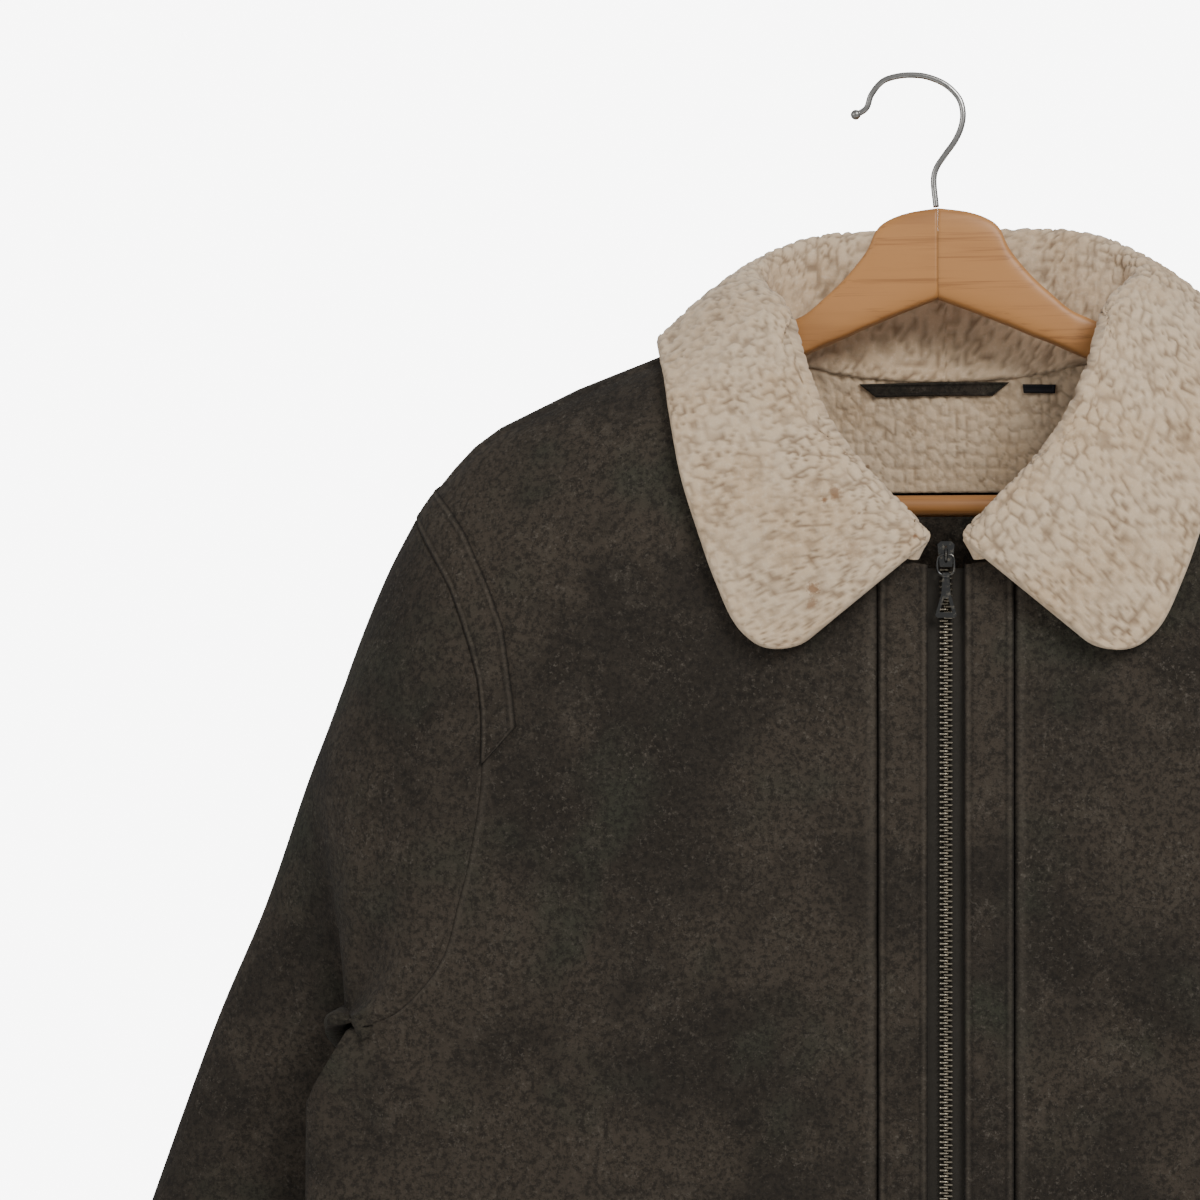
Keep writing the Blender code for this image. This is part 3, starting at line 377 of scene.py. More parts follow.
def mesh_of(name, points, faces, **marks):
    """A mesh from points in mm and faces of equal size, turned outwards; marks are kept on its points."""
    points = (points.reshape(-1, 3) + (GARMENT_X, 0, 0)) * MM
    corners = points[faces]
    centre = points.mean(axis=0)
    first, second, third = (corners[:, k] - centre for k in range(3))
    volume = np.einsum("ij,ij->i", first, np.cross(second, third))
    if volume.sum() < 0:
        faces = faces[:, ::-1]
    size = faces.shape[1]
    mesh = bpy.data.meshes.new(name)
    mesh.vertices.add(len(points))
    mesh.vertices.foreach_set("co", points.ravel())
    mesh.loops.add(faces.size)
    mesh.loops.foreach_set("vertex_index", faces.ravel())
    mesh.polygons.add(len(faces))
    mesh.polygons.foreach_set("loop_start", np.arange(0, faces.size, size))
    mesh.update(calc_edges=True)
    for mark, values in marks.items():
        kept = mesh.attributes.new(mark, "FLOAT", "POINT")
        kept.data.foreach_set("value", np.asarray(values, np.float32).ravel())
    mesh.shade_smooth()
    return mesh


def shell(name, outer, inner, closed=False, **marks):
    """One closed shell between two grids; each mark is a grid for the outer side, and 0 on the inner one."""
    rows, columns = outer.shape[:2]
    both = {mark: np.concatenate([values.ravel(), values.ravel() * 0]) for mark, values in marks.items()}
    points = np.concatenate([outer.reshape(-1, 3), inner.reshape(-1, 3)])
    return mesh_of(name, points, quads_of(rows, columns, closed), **both)


def piece(name, mesh, look, nodes, body=BODY):
    """Places a finished mesh, with its material, and lets it stand for the solids that it covers."""
    made = bpy.data.objects.new(name, mesh)
    bpy.context.collection.objects.link(made)
    mesh.materials.append(look)
    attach(made, body)
    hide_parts(*nodes)
    return made


def outer_line(fine):
    """The armhole and then the side seam, with fine steps for each row of the solid, and the row numbers."""
    last = ARM_COUNT - 1 + SIDE_COUNT
    rows = np.linspace(0, last, last * fine + 1)
    arm, side = rows[rows <= ARM_COUNT - 1], rows[rows > ARM_COUNT - 1]
    on_arm = spline(ARMHOLE, at=np.interp(arm, np.arange(ARM_COUNT), ARM_ROWS))
    on_side = spline(SIDE_SEAM, at=(side - ARM_COUNT + 1) / SIDE_COUNT)
    return np.vstack([on_arm, on_side]), rows


def front_grid(sign, fine):
    """Half the front: straight rows from the neck seam or the placket out to the armhole or side seam."""
    outer, rows = outer_line(fine)
    neck = rows[rows <= NECK_ROWS]
    top = spline(NECK_FRONT, at=(neck / NECK_ROWS) ** 2.1)
    share = (rows[rows > NECK_ROWS] - NECK_ROWS) / (rows[-1] - NECK_ROWS)
    below = top[-1][1] + (HEM_Z - top[-1][1]) * share
    inner = np.vstack([top, np.column_stack([np.full(len(below), PLACKET_SEAM + 0.3), below])])
    u = edge_shares(240, 3.4)
    x = inner[:, :1] * (1 - u) + outer[:, :1] * u
    z = inner[:, 1:] * (1 - u) + outer[:, 1:] * u
    lift = shoulder_z(x[0]) - z[0]
    z = np.minimum(z + lift * np.exp((outer[:, 1] - outer[0, 1])[:, None] / 60), shoulder_z(x))
    y = front_y(x * sign, z)
    y[0] = -SEAM_GAP / 2
    y[(ARM_COUNT - 1) * fine:, -1] = SIDE_Y - SEAM_GAP
    return np.stack([x, y, z], axis=2)


def back_grid(fine):
    """Half the back: its top row follows the neck seam and then the shoulder, its rows end at the middle."""
    outer, _ = outer_line(fine)
    neck_x, arm_x = NECK_BACK[0][0], ARMHOLE[0][0]
    shoulder_x = neck_x + (arm_x - neck_x) * edge_shares(163, 4.0)[1:]
    neck = spline(NECK_BACK[::-1], 26)
    top = np.vstack([neck, np.column_stack([shoulder_x, shoulder_z(shoulder_x)])])
    share = (outer[:, 1] - outer[0, 1]) / (outer[-1, 1] - outer[0, 1])
    middle = top[0, 1] + (HEM_Z - top[0, 1]) * share
    u = (top[:, 0] / top[-1, 0])[None, :]
    x = outer[:, :1] * u
    level = top[0, 1] + (top[-1, 1] - top[0, 1]) * top[:, 0] / top[-1, 0]
    bend = (top[:, 1] - level)[None, :] * np.exp((outer[:, 1:] - outer[0, 1]) / 70)
    z = np.minimum(middle[:, None] * (1 - u) + outer[:, 1:] * u + bend, shoulder_z(x))
    y = back_y(x, z)
    y[0, len(neck) - 1:] = SEAM_GAP / 2
    y[(ARM_COUNT - 1) * fine:, -1] = SIDE_Y + SEAM_GAP
    return np.stack([x, y, z], axis=2), len(neck) - 1


def inside(outer, sign, fine, first=0):
    """The wall's inner points, kept on their own side of the shoulder and side seams."""
    inner = outer - facing(outer, sign) * WALL
    near, low = slice(0, 2 * fine + 1), slice((ARM_COUNT - 1) * fine, None)
    keep = np.minimum if sign < 0 else np.maximum
    inner[near, first:, 1] = keep(inner[near, first:, 1], sign * SEAM_GAP / 2)
    inner[low, -1, 1] = keep(inner[low, -1, 1], SIDE_Y + sign * SEAM_GAP)
    return inner


def ring_normals(grid):
    found = normals(grid, closed=True)
    return found if np.sum(found * (grid - grid.mean(axis=1, keepdims=True))) > 0 else -found


def sleeve_walls(front, front_in, back, back_in, sign, fine):
    """Sleeve rings: the first is the armhole, moved off by the seam's gap, and it eases into ovals."""
    rows = (ARM_COUNT - 1) * fine + 1
    ring_out = np.vstack([front[:rows, -1], back[:rows, -1][::-1]])
    ring_in = np.vstack([front_in[:rows, -1], back_in[:rows, -1][::-1]])
    at = np.linspace(0, len(SLEEVE_RINGS) - 1, 190)
    at = np.unique(np.concatenate([at, [0.008, 0.017, 0.03, 0.045, 0.065, 0.09]]))
    table = through(SLEEVE_RINGS, at)
    half = np.concatenate([[0], np.cumsum(np.linalg.norm(np.diff(ring_out[:rows], axis=0), axis=1))])
    half = half / half[-1] * math.pi
    angle = np.concatenate([half, 2 * math.pi - half[::-1]])
    flat = np.sign(np.cos(angle)) * np.abs(np.cos(angle)) ** 0.9
    round_ = np.sign(np.sin(angle)) * np.abs(np.sin(angle)) ** 0.9
    middle = (table[:, None, 0:3] + table[:, None, 3:6]) / 2
    arm = (table[:, None, 0:3] - table[:, None, 3:6]) / 2
    grid = middle + arm * flat[None, :, None]
    grid[..., 1] -= table[:, 6:7] * round_
    for share, where, width, depth in SLEEVE_FOLDS:
        turn = (np.degrees(angle) - (360 - where) + 180) % 360 - 180
        near = ((at[:, None] / at[-1] - share) / 0.05) ** 2 + (turn[None] / (width * 5)) ** 2
        press = depth * np.exp(-near)
        grid[..., 1] -= press * np.sign(grid[..., 1] - middle[..., 1])
    along = np.gradient(ring_out[:rows], axis=0)
    off = np.stack([-along[:, 2], np.zeros(rows), along[:, 0]], axis=1)
    armpit = np.linspace(0, 1, rows)[:, None] ** 4
    length = np.maximum(np.linalg.norm(off, axis=1, keepdims=True), 1e-9)
    off = off / length * (SEAM_GAP * 2 + ARMPIT_EASE * armpit)
    step = np.vstack([off, off[::-1]])
    fade = np.clip(1 - at / 3.2, 0, 1)
    fade = (fade**2 * (3 - 2 * fade))[:, None, None]
    outer = grid + fade * (ring_out + step - grid[0])
    inner = outer - ring_normals(outer) * WALL
    seam = np.clip(1 - at / 0.5, 0, 1)[:, None, None]
    inner = inner * (1 - seam) + (ring_in + step) * seam
    hidden = 3.0 / np.linalg.norm(step, axis=1, keepdims=True) + 1
    behind = ring_in + (ring_in - ring_out) * 0.4 - step * hidden
    tuck = np.stack([behind, outer[0] * 0.5 + behind * 0.5])
    inner = np.concatenate([tuck + (inner[0] - outer[0]) * 0.3, inner])
    outer = np.concatenate([tuck, outer])
    return mirror(outer, sign), mirror(inner, sign)


def body_point(x, drop, face):
    z = shoulder_z(x) - np.maximum(drop, 0)
    return np.stack([x, (front_y if face < 0 else back_y)(x, z), z], axis=-1)


def body_normal(x, drop, face):
    """The outside's unit normal there, from two short steps over it."""
    here = body_point(x, drop, face)
    cross = np.cross(body_point(x + 0.5, drop, face) - here, body_point(x, drop + 0.5, face) - here)
    cross = cross / np.linalg.norm(cross, axis=-1, keepdims=True)
    return np.where(cross[..., 1:2] * face < 0, -cross, cross)


def strip_walls(left, right, shares, low, high, sign):
    """Cloth on the body between two edges, whose rows are x, drop below the shoulder and face."""
    u = shares[None, :]
    x = left[:, :1] * (1 - u) + right[:, :1] * u
    drop = left[:, 1:2] * (1 - u) + right[:, 1:2] * u
    front = (np.repeat(left[:, 2:3], len(shares), axis=1) < 0)[..., None]
    normal = np.where(front, body_normal(x * sign, drop, -1), body_normal(x * sign, drop, 1))
    point = np.where(front, body_point(x * sign, drop, -1), body_point(x * sign, drop, 1))
    ridge = np.clip(1 - drop / 2.5, 0, 1)[..., None]
    normal = normal * (1 - ridge) + np.array([-0.45 * sign, 0, 0.9]) * ridge
    normal = normal / np.linalg.norm(normal, axis=-1, keepdims=True)
    return point + normal * high, point + normal * (low + ridge * 0.9 * (low > 0)), normal


def band_edges(fine):
    """The armhole band's inner and outer edges, from the back's point over the shoulder to the chest's."""
    shares = np.array([0.008, 0.05, 0.11, 0.19, 0.28, 0.38, 0.48, 0.58, 0.68, 0.76])
    hole = [row for row in ARMHOLE if row[1] > BAND_INNER[-1][1] + 1] + [BAND_INNER[-1]]
    outside = spline(hole, at=np.append(shares / 0.8 * 0.94, [0.965, 0.985])) - (0.5, 0)
    inner = np.vstack([spline(BAND_INNER[:-1], at=shares / 0.76), spline(BAND_INNER[-2:], at=[0.45, 0.9])])

    def both(points):
        rows = np.column_stack([points[:, 0], shoulder_z(points[:, 0]) - points[:, 1]])
        back = rows[::-1]
        whole = np.vstack([back, [[rows[0, 0], 0]], rows])
        at = np.linspace(0, len(whole) - 1, (len(whole) - 1) * fine + 1)
        face = np.where(at >= len(back), -1.0, 1.0)
        return np.column_stack([straight(whole, at), face])

    return both(inner), both(outside)


def collar_grid():
    """Middle surface of the collar from front end to front end: a curve through stand, roll and leaf."""
    at = np.concatenate([np.linspace(0, 0.75, 22)[:-1], np.linspace(0.75, len(COLLAR) - 1, 190)])
    rows = through(COLLAR, at)
    seam_x, seam_z = rows[:, 0], rows[:, 1]
    seam_y = np.where(at < 7, front_y(seam_x, seam_z) + WALL / 2, back_y(seam_x, seam_z) - WALL / 2)
    seam_y = np.where(np.abs(at - 7) < 0.6, (at - 7) * 14, seam_y)
    seam = np.stack([seam_x, seam_y, seam_z], axis=1)
    roll, edge, off = rows[:, 2:5], rows[:, 5:8], rows[:, 8:11]
    off = off / np.linalg.norm(off, axis=1, keepdims=True)
    stand = roll - seam
    tuck = 7.0 * np.clip((at - 7.6) / 1.2, 0, 1)[:, None]
    stand = stand / np.linalg.norm(stand, axis=1, keepdims=True)
    start = seam + stand * (COLLAR_EASE - tuck) - tuck * (0, 0.75, 0)
    swell = [roll + (edge - roll) * part + off * LEAF_LIFT for part in (0.10, 0.50)]
    knots = np.stack([start, start + (roll - start) * 0.55 - off, roll, *swell, edge], axis=1)
    edge_steps = [4.93, 4.95, 4.97, 4.985, 5]
    share = np.concatenate([np.linspace(0, 2, 30)[:-1], np.linspace(2, 4.9, 52), edge_steps])
    half = np.stack([through(section, share) for section in knots])
    leaf = share > 2
    x, y, z = (half[:, leaf, k] for k in range(3))
    clear = PILE / 2 * LEAF_CLEAR
    up = z - (shoulder_z(x) - RIDGE_RADIUS)
    far = np.maximum(np.hypot(y, up), 1e-6)
    push = np.where(up > 0, np.maximum((RIDGE_RADIUS + clear) / far, 1.0), 1.0)
    y, z = y * push, z + up * (push - 1)
    ahead = (at < 7)[:, None]
    y = np.where(ahead & (up <= 0), np.minimum(y, front_y(x, z) - clear), y)
    y = np.where(~ahead & (up <= 0), np.maximum(y, back_y(x, z) + clear), y)
    half[:, leaf, 1], half[:, leaf, 2] = y, z
    half = round_tip(half, TIP_ROUND)
    return np.concatenate([mirror(half, -1), half[-2::-1]])


def round_tip(grid, radius):
    """Rounds the corner of the first row and last column: its square is drawn onto a quarter of a disc."""
    front, edge = from_edges(grid, ("top",)), from_edges(grid, ("last",))
    a, b = np.clip(1 - front / radius, 0, 1), np.clip(1 - edge / radius, 0, 1)
    back_off = radius * (a - a * np.sqrt(1 - b**2 / 2))
    in_off = radius * (b - b * np.sqrt(1 - a**2 / 2))
    down, over = np.gradient(grid, axis=0), np.gradient(grid, axis=1)
    down /= np.maximum(np.linalg.norm(down, axis=2, keepdims=True), 1e-9)
    over /= np.maximum(np.linalg.norm(over, axis=2, keepdims=True), 1e-9)
    return grid + down * back_off[..., None] - over * in_off[..., None]


def curls(points, size):
    """Cells about jittered centres: distance to the nearest one, and how far the next lies beyond."""
    at = points.reshape(-1, 3) / size
    cell = np.floor(at).astype(np.int64)
    jitter = np.random.default_rng(7).random((4096, 3))
    near, beyond = np.full(len(at), 9.0), np.full(len(at), 9.0)
    for step in itertools.product((-1, 0, 1), repeat=3):
        there = cell + step
        key = (there[:, 0] * 73856093 ^ there[:, 1] * 19349663 ^ there[:, 2] * 83492791) % 4096
        gap = np.linalg.norm(there + 0.1 + 0.8 * jitter[key] - at, axis=1)
        beyond = np.minimum(beyond, np.maximum(near, gap))
        near = np.minimum(near, gap)
    return near.reshape(points.shape[:-1]), (beyond - near).reshape(points.shape[:-1])


def pile_over(points, normal, scale, keep):
    """Raises round curls off a surface, with cracks between them. Gives the points and the cracks' depth."""
    near, beyond = curls(points, np.array([5.4, 5.4, 6.8]) * scale)
    small, between = curls(points + 50, np.array([2.6, 2.6, 3.0]) * scale)
    crack = bell(beyond, 0.13)
    height = 0.9 - 1.1 * near**2 - 0.9 * crack + 0.28 * (0.5 - small) - 0.16 * bell(between, 0.2)
    height = height + np.random.default_rng(3).normal(0, 0.07, near.shape)
    return points + normal * (height * keep)[..., None], crack * keep


class Wire:
    """One value in a material: its operators add Math nodes."""

    def __init__(self, paint, socket):
        self.paint, self.socket = paint, socket

    def maths(self, operation, *values):
        return self.paint.add("ShaderNodeMath", {"operation": operation}, dict(enumerate(values)))

    def __add__(self, other):
        return self.maths("ADD", self, other)

    def __rsub__(self, other):
        return self.maths("SUBTRACT", other, self)

    def __mul__(self, other):
        return self.maths("MULTIPLY", self, other)

    __radd__, __rmul__ = __add__, __mul__

    def between(self, low, high):
        """0 at low, 1 at high, eased."""
        settings = {"interpolation_type": "SMOOTHSTEP"}
        return self.paint.add("ShaderNodeMapRange", settings, {0: self, 1: low, 2: high})


class Paint:
    """A material's nodes and its Principled shader."""

    def __init__(self, name, **constants):
        self.material = bpy.data.materials.new(name)
        self.material.use_nodes = True
        self.tree = self.material.node_tree
        self.shader = self.tree.nodes["Principled BSDF"]
        for socket, value in constants.items():
            self.shader.inputs[socket.replace("_", " ")].default_value = value
        self.place = self.add("ShaderNodeTexCoord", {}, {}, "Object")

    def add(self, kind, settings, sockets, out=0):
        """Adds a node: its settings first, then the values or links of its sockets."""
        node = self.tree.nodes.new(kind)
        for name, value in settings.items():
            setattr(node, name, value)
        for key, value in sockets.items():
            if isinstance(value, Wire):
                self.tree.links.new(value.socket, node.inputs[key])
            else:
                node.inputs[key].default_value = value
        return Wire(self, node.outputs[out])

    def moved(self, turn=(0, 0, 0), scale=(1, 1, 1), centre=(0, 0, 0)):
        """Object coordinates about a centre, turned and stretched."""
        shift = self.add("ShaderNodeVectorMath", {"operation": "SUBTRACT"}, {0: self.place, 1: centre})
        return self.add("ShaderNodeMapping", {"vector_type": "POINT"}, {0: shift, 2: turn, 3: scale})

    def noise(self, scale, detail=2.0, rough=0.5, at=None):
        return self.add("ShaderNodeTexNoise", {}, {0: at or self.place, 2: scale, 3: detail, 4: rough})

    def cells(self, scale, feature="F1", at=None):
        return self.add("ShaderNodeTexVoronoi", {"feature": feature}, {0: at or self.place, 2: scale})

    def mark(self, name):
        return self.add("ShaderNodeAttribute", {"attribute_name": name}, {}, "Fac")

    def mix(self, a, b, share):
        settings = {"data_type": "RGBA", "blend_type": "MIX", "clamp_factor": True}
        a, b = (colour if isinstance(colour, Wire) else (*colour, 1) for colour in (a, b))
        return self.add("ShaderNodeMix", settings, {0: share, 6: a, 7: b}, 2)

    def finish(self, colour, roughness, *bumps):
        """Links the colour, the roughness and a chain of bumps: each a height, a strength, a depth in m."""
        for socket, value in (("Base Color", colour), ("Roughness", roughness)):
            if isinstance(value, Wire):
                self.tree.links.new(value.socket, self.shader.inputs[socket])
            else:
                self.shader.inputs[socket].default_value = value
        normal = None
        for height, strength, depth in bumps:
            sockets = {"Strength": strength, "Distance": depth, "Height": height}
            if normal:
                sockets["Normal"] = normal
            normal = self.add("ShaderNodeBump", {}, sockets)
        if normal:
            self.tree.links.new(normal.socket, self.shader.inputs["Normal"])
        return self.material


def stored(name, make):
    """The material of that name, made on its first use. No name here is that of a material in the pack."""
    return bpy.data.materials.get(name) or make(name)


def suede(name):
    """Napped dark leather: brown and moss patches, pale scuffed specks, worn seams and a fine grain."""
    look = bpy.context.scene.jacket_colours
    paint = Paint(name, Sheen_Weight=0.03, Sheen_Roughness=0.4, Specular_IOR_Level=0.2)
    patches = paint.noise(11, 5, 0.65).between(0.42, 0.6)
    moss = paint.noise(14, 3, 0.6, paint.moved(centre=(0.3, 0.1, 0.2))).between(0.5, 0.72)
    cloud = paint.noise(38, 4, 0.65).between(0.35, 0.72)
    grain = paint.noise(1500, 2, 0.7)
    scuff = paint.noise(480, 4, 0.8).between(0.54, 0.68) * (0.2 + cloud * 0.8)
    colour = paint.mix(tuple(look.suede), tuple(look.suede_dark), patches * 0.62)
    colour = paint.mix(colour, tuple(look.suede_moss), moss * 0.8)
    dapple = paint.noise(95, 5, 0.7).between(0.46, 0.66)
    colour = paint.mix(colour, tuple(look.suede_worn), dapple * cloud * 0.3)
    specks = paint.noise(330, 4, 0.8).between(0.42, 0.62)
    colour = paint.mix(colour, tuple(look.suede_dark), specks * 0.75)
    colour = paint.mix(colour, tuple(look.suede_worn), scuff * 0.8 + paint.mark("worn") * 0.22)
    colour = paint.mix(colour, (0.004, 0.003, 0.002), paint.mark("seam") * 0.8)
    wrinkle = paint.cells(150, "DISTANCE_TO_EDGE").between(0.0, 0.28)
    waves, nap = paint.noise(16, 3, 0.5), paint.noise(330, 4, 0.75)
    return paint.finish(colour, 0.78 - scuff * 0.3 + cloud * 0.06, (waves, 0.5, 0.0016),
                        (wrinkle, 0.12, 0.0003), (nap, 0.8, 0.0012), (grain, 0.7, 0.0003))


def pile(name):
    """Cream curls with painted shade in the cracks, and a few small stains on the left leaf."""
    look = bpy.context.scene.jacket_colours
    paint = Paint(name, Sheen_Weight=0.25, Sheen_Roughness=0.6, Specular_IOR_Level=0.1)
    crack = paint.mark("crack")
    patches = paint.noise(30, 3, 0.6).between(0.35, 0.7)
    tips = paint.noise(420, 3, 0.7).between(0.45, 0.75)
    # Painted shade: the pile darkens with the cracks' depth, standing in for the shade between the curls.
    shade_in_cracks = crack * (0.35 + paint.noise(70).between(0.3, 0.7) * 0.5)
    colour = paint.mix(tuple(look.pile), tuple(look.pile_warm), patches * 0.7)
    colour = paint.mix(colour, tuple(look.pile_pale), tips * 0.5)
    colour = paint.mix(colour, tuple(look.pile_crack_shade), shade_in_cracks)
    ragged = paint.noise(520, 3, 0.7)
    for x, z, size, share in STAINS:
        middle = ((x + GARMENT_X) * MM, 0, z * MM)
        flat = paint.moved(scale=(1, 0, 1), centre=middle)
        far = paint.add("ShaderNodeVectorMath", {"operation": "LENGTH"}, {0: flat}, 1)
        spot = 1 - (far + ragged * size * MM * 1.4).between(size * MM * 0.9, size * MM * 1.45)
        colour = paint.mix(colour, tuple(look.stain), spot * share)
    fibres = paint.noise(900, 4, 0.75)
    loops = paint.cells(420)
    return paint.finish(colour, 0.95, (loops, 0.35, 0.0006), (fibres, 0.6, 0.0005))


def woven(name):
    """Ribbed dark tape: fine level ribs and a slight mottle."""
    look = bpy.context.scene.jacket_colours
    paint = Paint(name, Specular_IOR_Level=0.25)
    ribs = paint.add("ShaderNodeTexWave", {"bands_direction": "Z"}, {0: paint.place, 1: 620, 2: 0.4})
    colour = paint.mix(tuple(look.tape), tuple(look.suede_worn), ribs * 0.25 + paint.noise(900) * 0.15)
    return paint.finish(colour, 0.85, (ribs, 0.6, 0.0003))


def antique(name):
    """Antiqued zip metal: bright on the rounded tops, dulled in patches."""
    look = bpy.context.scene.jacket_colours
    paint = Paint(name, Metallic=1.0)
    dull = paint.noise(500, 3, 0.6).between(0.4, 0.7)
    colour = paint.mix(tuple(look.metal), tuple(look.metal_dull), dull * 0.7)
    return paint.finish(colour, 0.26 + dull * 0.25, (paint.noise(1600), 0.15, 0.0001))


def gunmetal(name):
    look = bpy.context.scene.jacket_colours
    paint = Paint(name, Metallic=1.0)
    streak = paint.noise(260, 3, 0.6).between(0.35, 0.75)
    colour = paint.mix(tuple(look.steel), tuple(look.steel_dark), streak * 0.6)
    return paint.finish(colour, 0.22 + streak * 0.18, (paint.noise(1100), 0.1, 0.0001))


def dark_metal(name):
    """Dark plated metal of the slider, ring and tab, with worn bright patches."""
    look = bpy.context.scene.jacket_colours
    paint = Paint(name, Metallic=1.0)
    worn = paint.noise(420, 3, 0.6).between(0.5, 0.75)
    colour = paint.mix(tuple(look.steel_dark), tuple(look.metal), worn * 0.6)
    return paint.finish(colour, 0.2 + worn * 0.2, (paint.noise(1500), 0.1, 0.0001))


def honey_wood(name, turn):
    """Oiled wood: long grain turned along the piece, wide strips of slightly different tone, fine pores."""
    look = bpy.context.scene.jacket_colours
    paint = Paint(name, Specular_IOR_Level=0.45, Coat_Weight=0.12, Coat_Roughness=0.3)
    along = paint.moved(turn=(0, turn, 0), scale=(5, 60, 60))
    fine = paint.moved(turn=(0, turn, 0), scale=(9, 420, 420))
    strips = paint.moved(turn=(0, turn, 0), scale=(1.2, 3, 62))
    grain = paint.noise(1.0, 4, 0.6, along)
    pores = paint.noise(1.0, 3, 0.7, fine)
    tone = paint.cells(1.0, "F1", strips)
    colour = paint.mix(tuple(look.wood), tuple(look.wood_dark), grain.between(0.42, 0.68) * 0.6)
    colour = paint.mix(colour, tuple(look.wood_pale), tone.between(0.25, 0.75) * 0.4)
    colour = paint.mix(colour, tuple(look.wood_dark), pores.between(0.52, 0.7) * 0.55)
    return paint.finish(colour, 0.42 + pores * 0.12, (pores, 0.25, 0.0002))


def colour_property(name, words, default):
    return FloatVectorProperty(name=name, description=words, subtype="COLOR", size=3, min=0, max=1,
                               default=default)


class JacketColours(PropertyGroup):
    """Colours of the jacket's finishes, as linear values."""

    suede: colour_property("Suede", "Main brown of the leather", (0.052, 0.0405, 0.029))
    suede_dark: colour_property("Dark suede", "Darker patches of the leather", (0.0115, 0.0092, 0.0070))
    suede_moss: colour_property("Moss suede", "Greener patches of the leather", (0.0350, 0.0365, 0.0245))
    suede_worn: colour_property("Worn suede", "Scuffed nap and worn seams", (0.105, 0.088, 0.068))
    pile: colour_property("Pile", "Cream of the curls", (0.70, 0.535, 0.36))
    pile_warm: colour_property("Warm pile", "Yellower patches of the curls", (0.62, 0.44, 0.265))
    pile_pale: colour_property("Pale pile", "Tips of the curls", (0.80, 0.65, 0.48))
    # Painted shade: the colour laid into the cracks between the curls, where shade falls.
    pile_crack_shade: colour_property("Crack shade", "Cracks between the curls", (0.20, 0.125, 0.07))
    stain: colour_property("Stain", "Small brown stains on the left leaf", (0.20, 0.085, 0.028))
    tape: colour_property("Zip tape", "Cloth beside the teeth", (0.020, 0.018, 0.015))
    label: colour_property("Size tab", "Cloth of the bare tab", (0.008, 0.008, 0.010))
    metal: colour_property("Zip metal", "Bright antiqued metal", (0.36, 0.32, 0.25))
    metal_dull: colour_property("Dull zip metal", "Dulled antiqued metal", (0.10, 0.088, 0.07))
    steel: colour_property("Hook steel", "Polished hook", (0.42, 0.41, 0.39))
    steel_dark: colour_property("Dark hook steel", "Dulled hook", (0.09, 0.09, 0.088))
    wood: colour_property("Wood", "Honey of the hanger", (0.50, 0.225, 0.068))
    wood_dark: colour_property("Dark wood", "Grain of the hanger", (0.25, 0.095, 0.024))
    wood_pale: colour_property("Pale wood", "Pale strips of the hanger", (0.50, 0.225, 0.070))


def number(name, words, default, **more):
    return FloatProperty(name=name, description=words, default=default, **more)


class JacketSizes(PropertyGroup):
    """Sizes of the finish, in millimetres."""

    fine: IntProperty(name="Fineness", description="Steps for each row of the solids", default=6,
                      min=2, max=8)
    seam_dip: number("Seam dip", "How far leather turns down at a seam", 1.3)
    curl: number("Curl", "Size of the pile's curls against their measured size", 1.0)
    tooth_pitch: number("Tooth pitch", "Between teeth on one side of the zip", 2.66)


class JacketStage(PropertyGroup):
    """Light and floor."""

    key: number("Key", "Power of the main light", 38, subtype="POWER")
    fill: number("Fill", "Power of the soft light on the left", 11, subtype="POWER")
    sky: number("Sky", "Strength of the pale surroundings", 0.42)
    backdrop: number("Backdrop", "Brightness of the plain backdrop", 8.0)
    floor: colour_property("Floor", "Colour of the floor", (0.8, 0.8, 0.79))


def sizes():
    return bpy.context.scene.jacket_sizes


def seam_marks(grid, sides):
    """How worn the leather is near its seams, and how dark it is right in them."""
    far = from_edges(grid, sides)
    return {"worn": bell(far, 2.2, 3.2), "seam": bell(far, 1.1)}


def sunk(grid, sign, sides, depth):
    """The grid with its seam edges turned down, by a bell of the distance from them."""
    dip = underarm_calm(grid) * depth * bell(from_edges(grid, sides), 1.7)
    return grid - facing(grid, sign) * dip[..., None]


def underarm_calm(grid):
    """0 at the foot of the armhole, where all the seams meet, rising to 1 all round it."""
    far = np.hypot(np.abs(grid[..., 0]) - UNDERARM[0], grid[..., 2] - UNDERARM[1])
    return np.clip((far - 8) / 30, 0, 1)


def body_walls():
    """Grids of the fronts, the back and the sleeves, before their relief."""
    fine = sizes().fine
    back, neck_columns = back_grid(fine)
    back_in = inside(back, 1, fine, neck_columns)
    found = {"back": (back, back_in)}
    for side, sign in SIDES:
        front = front_grid(sign, fine)
        front_in = inside(front, -1, fine)
        found["front_" + side] = (mirror(front, sign), mirror(front_in, sign))
        found["sleeve_" + side] = sleeve_walls(front, front_in, back, back_in, sign, fine)
    return found


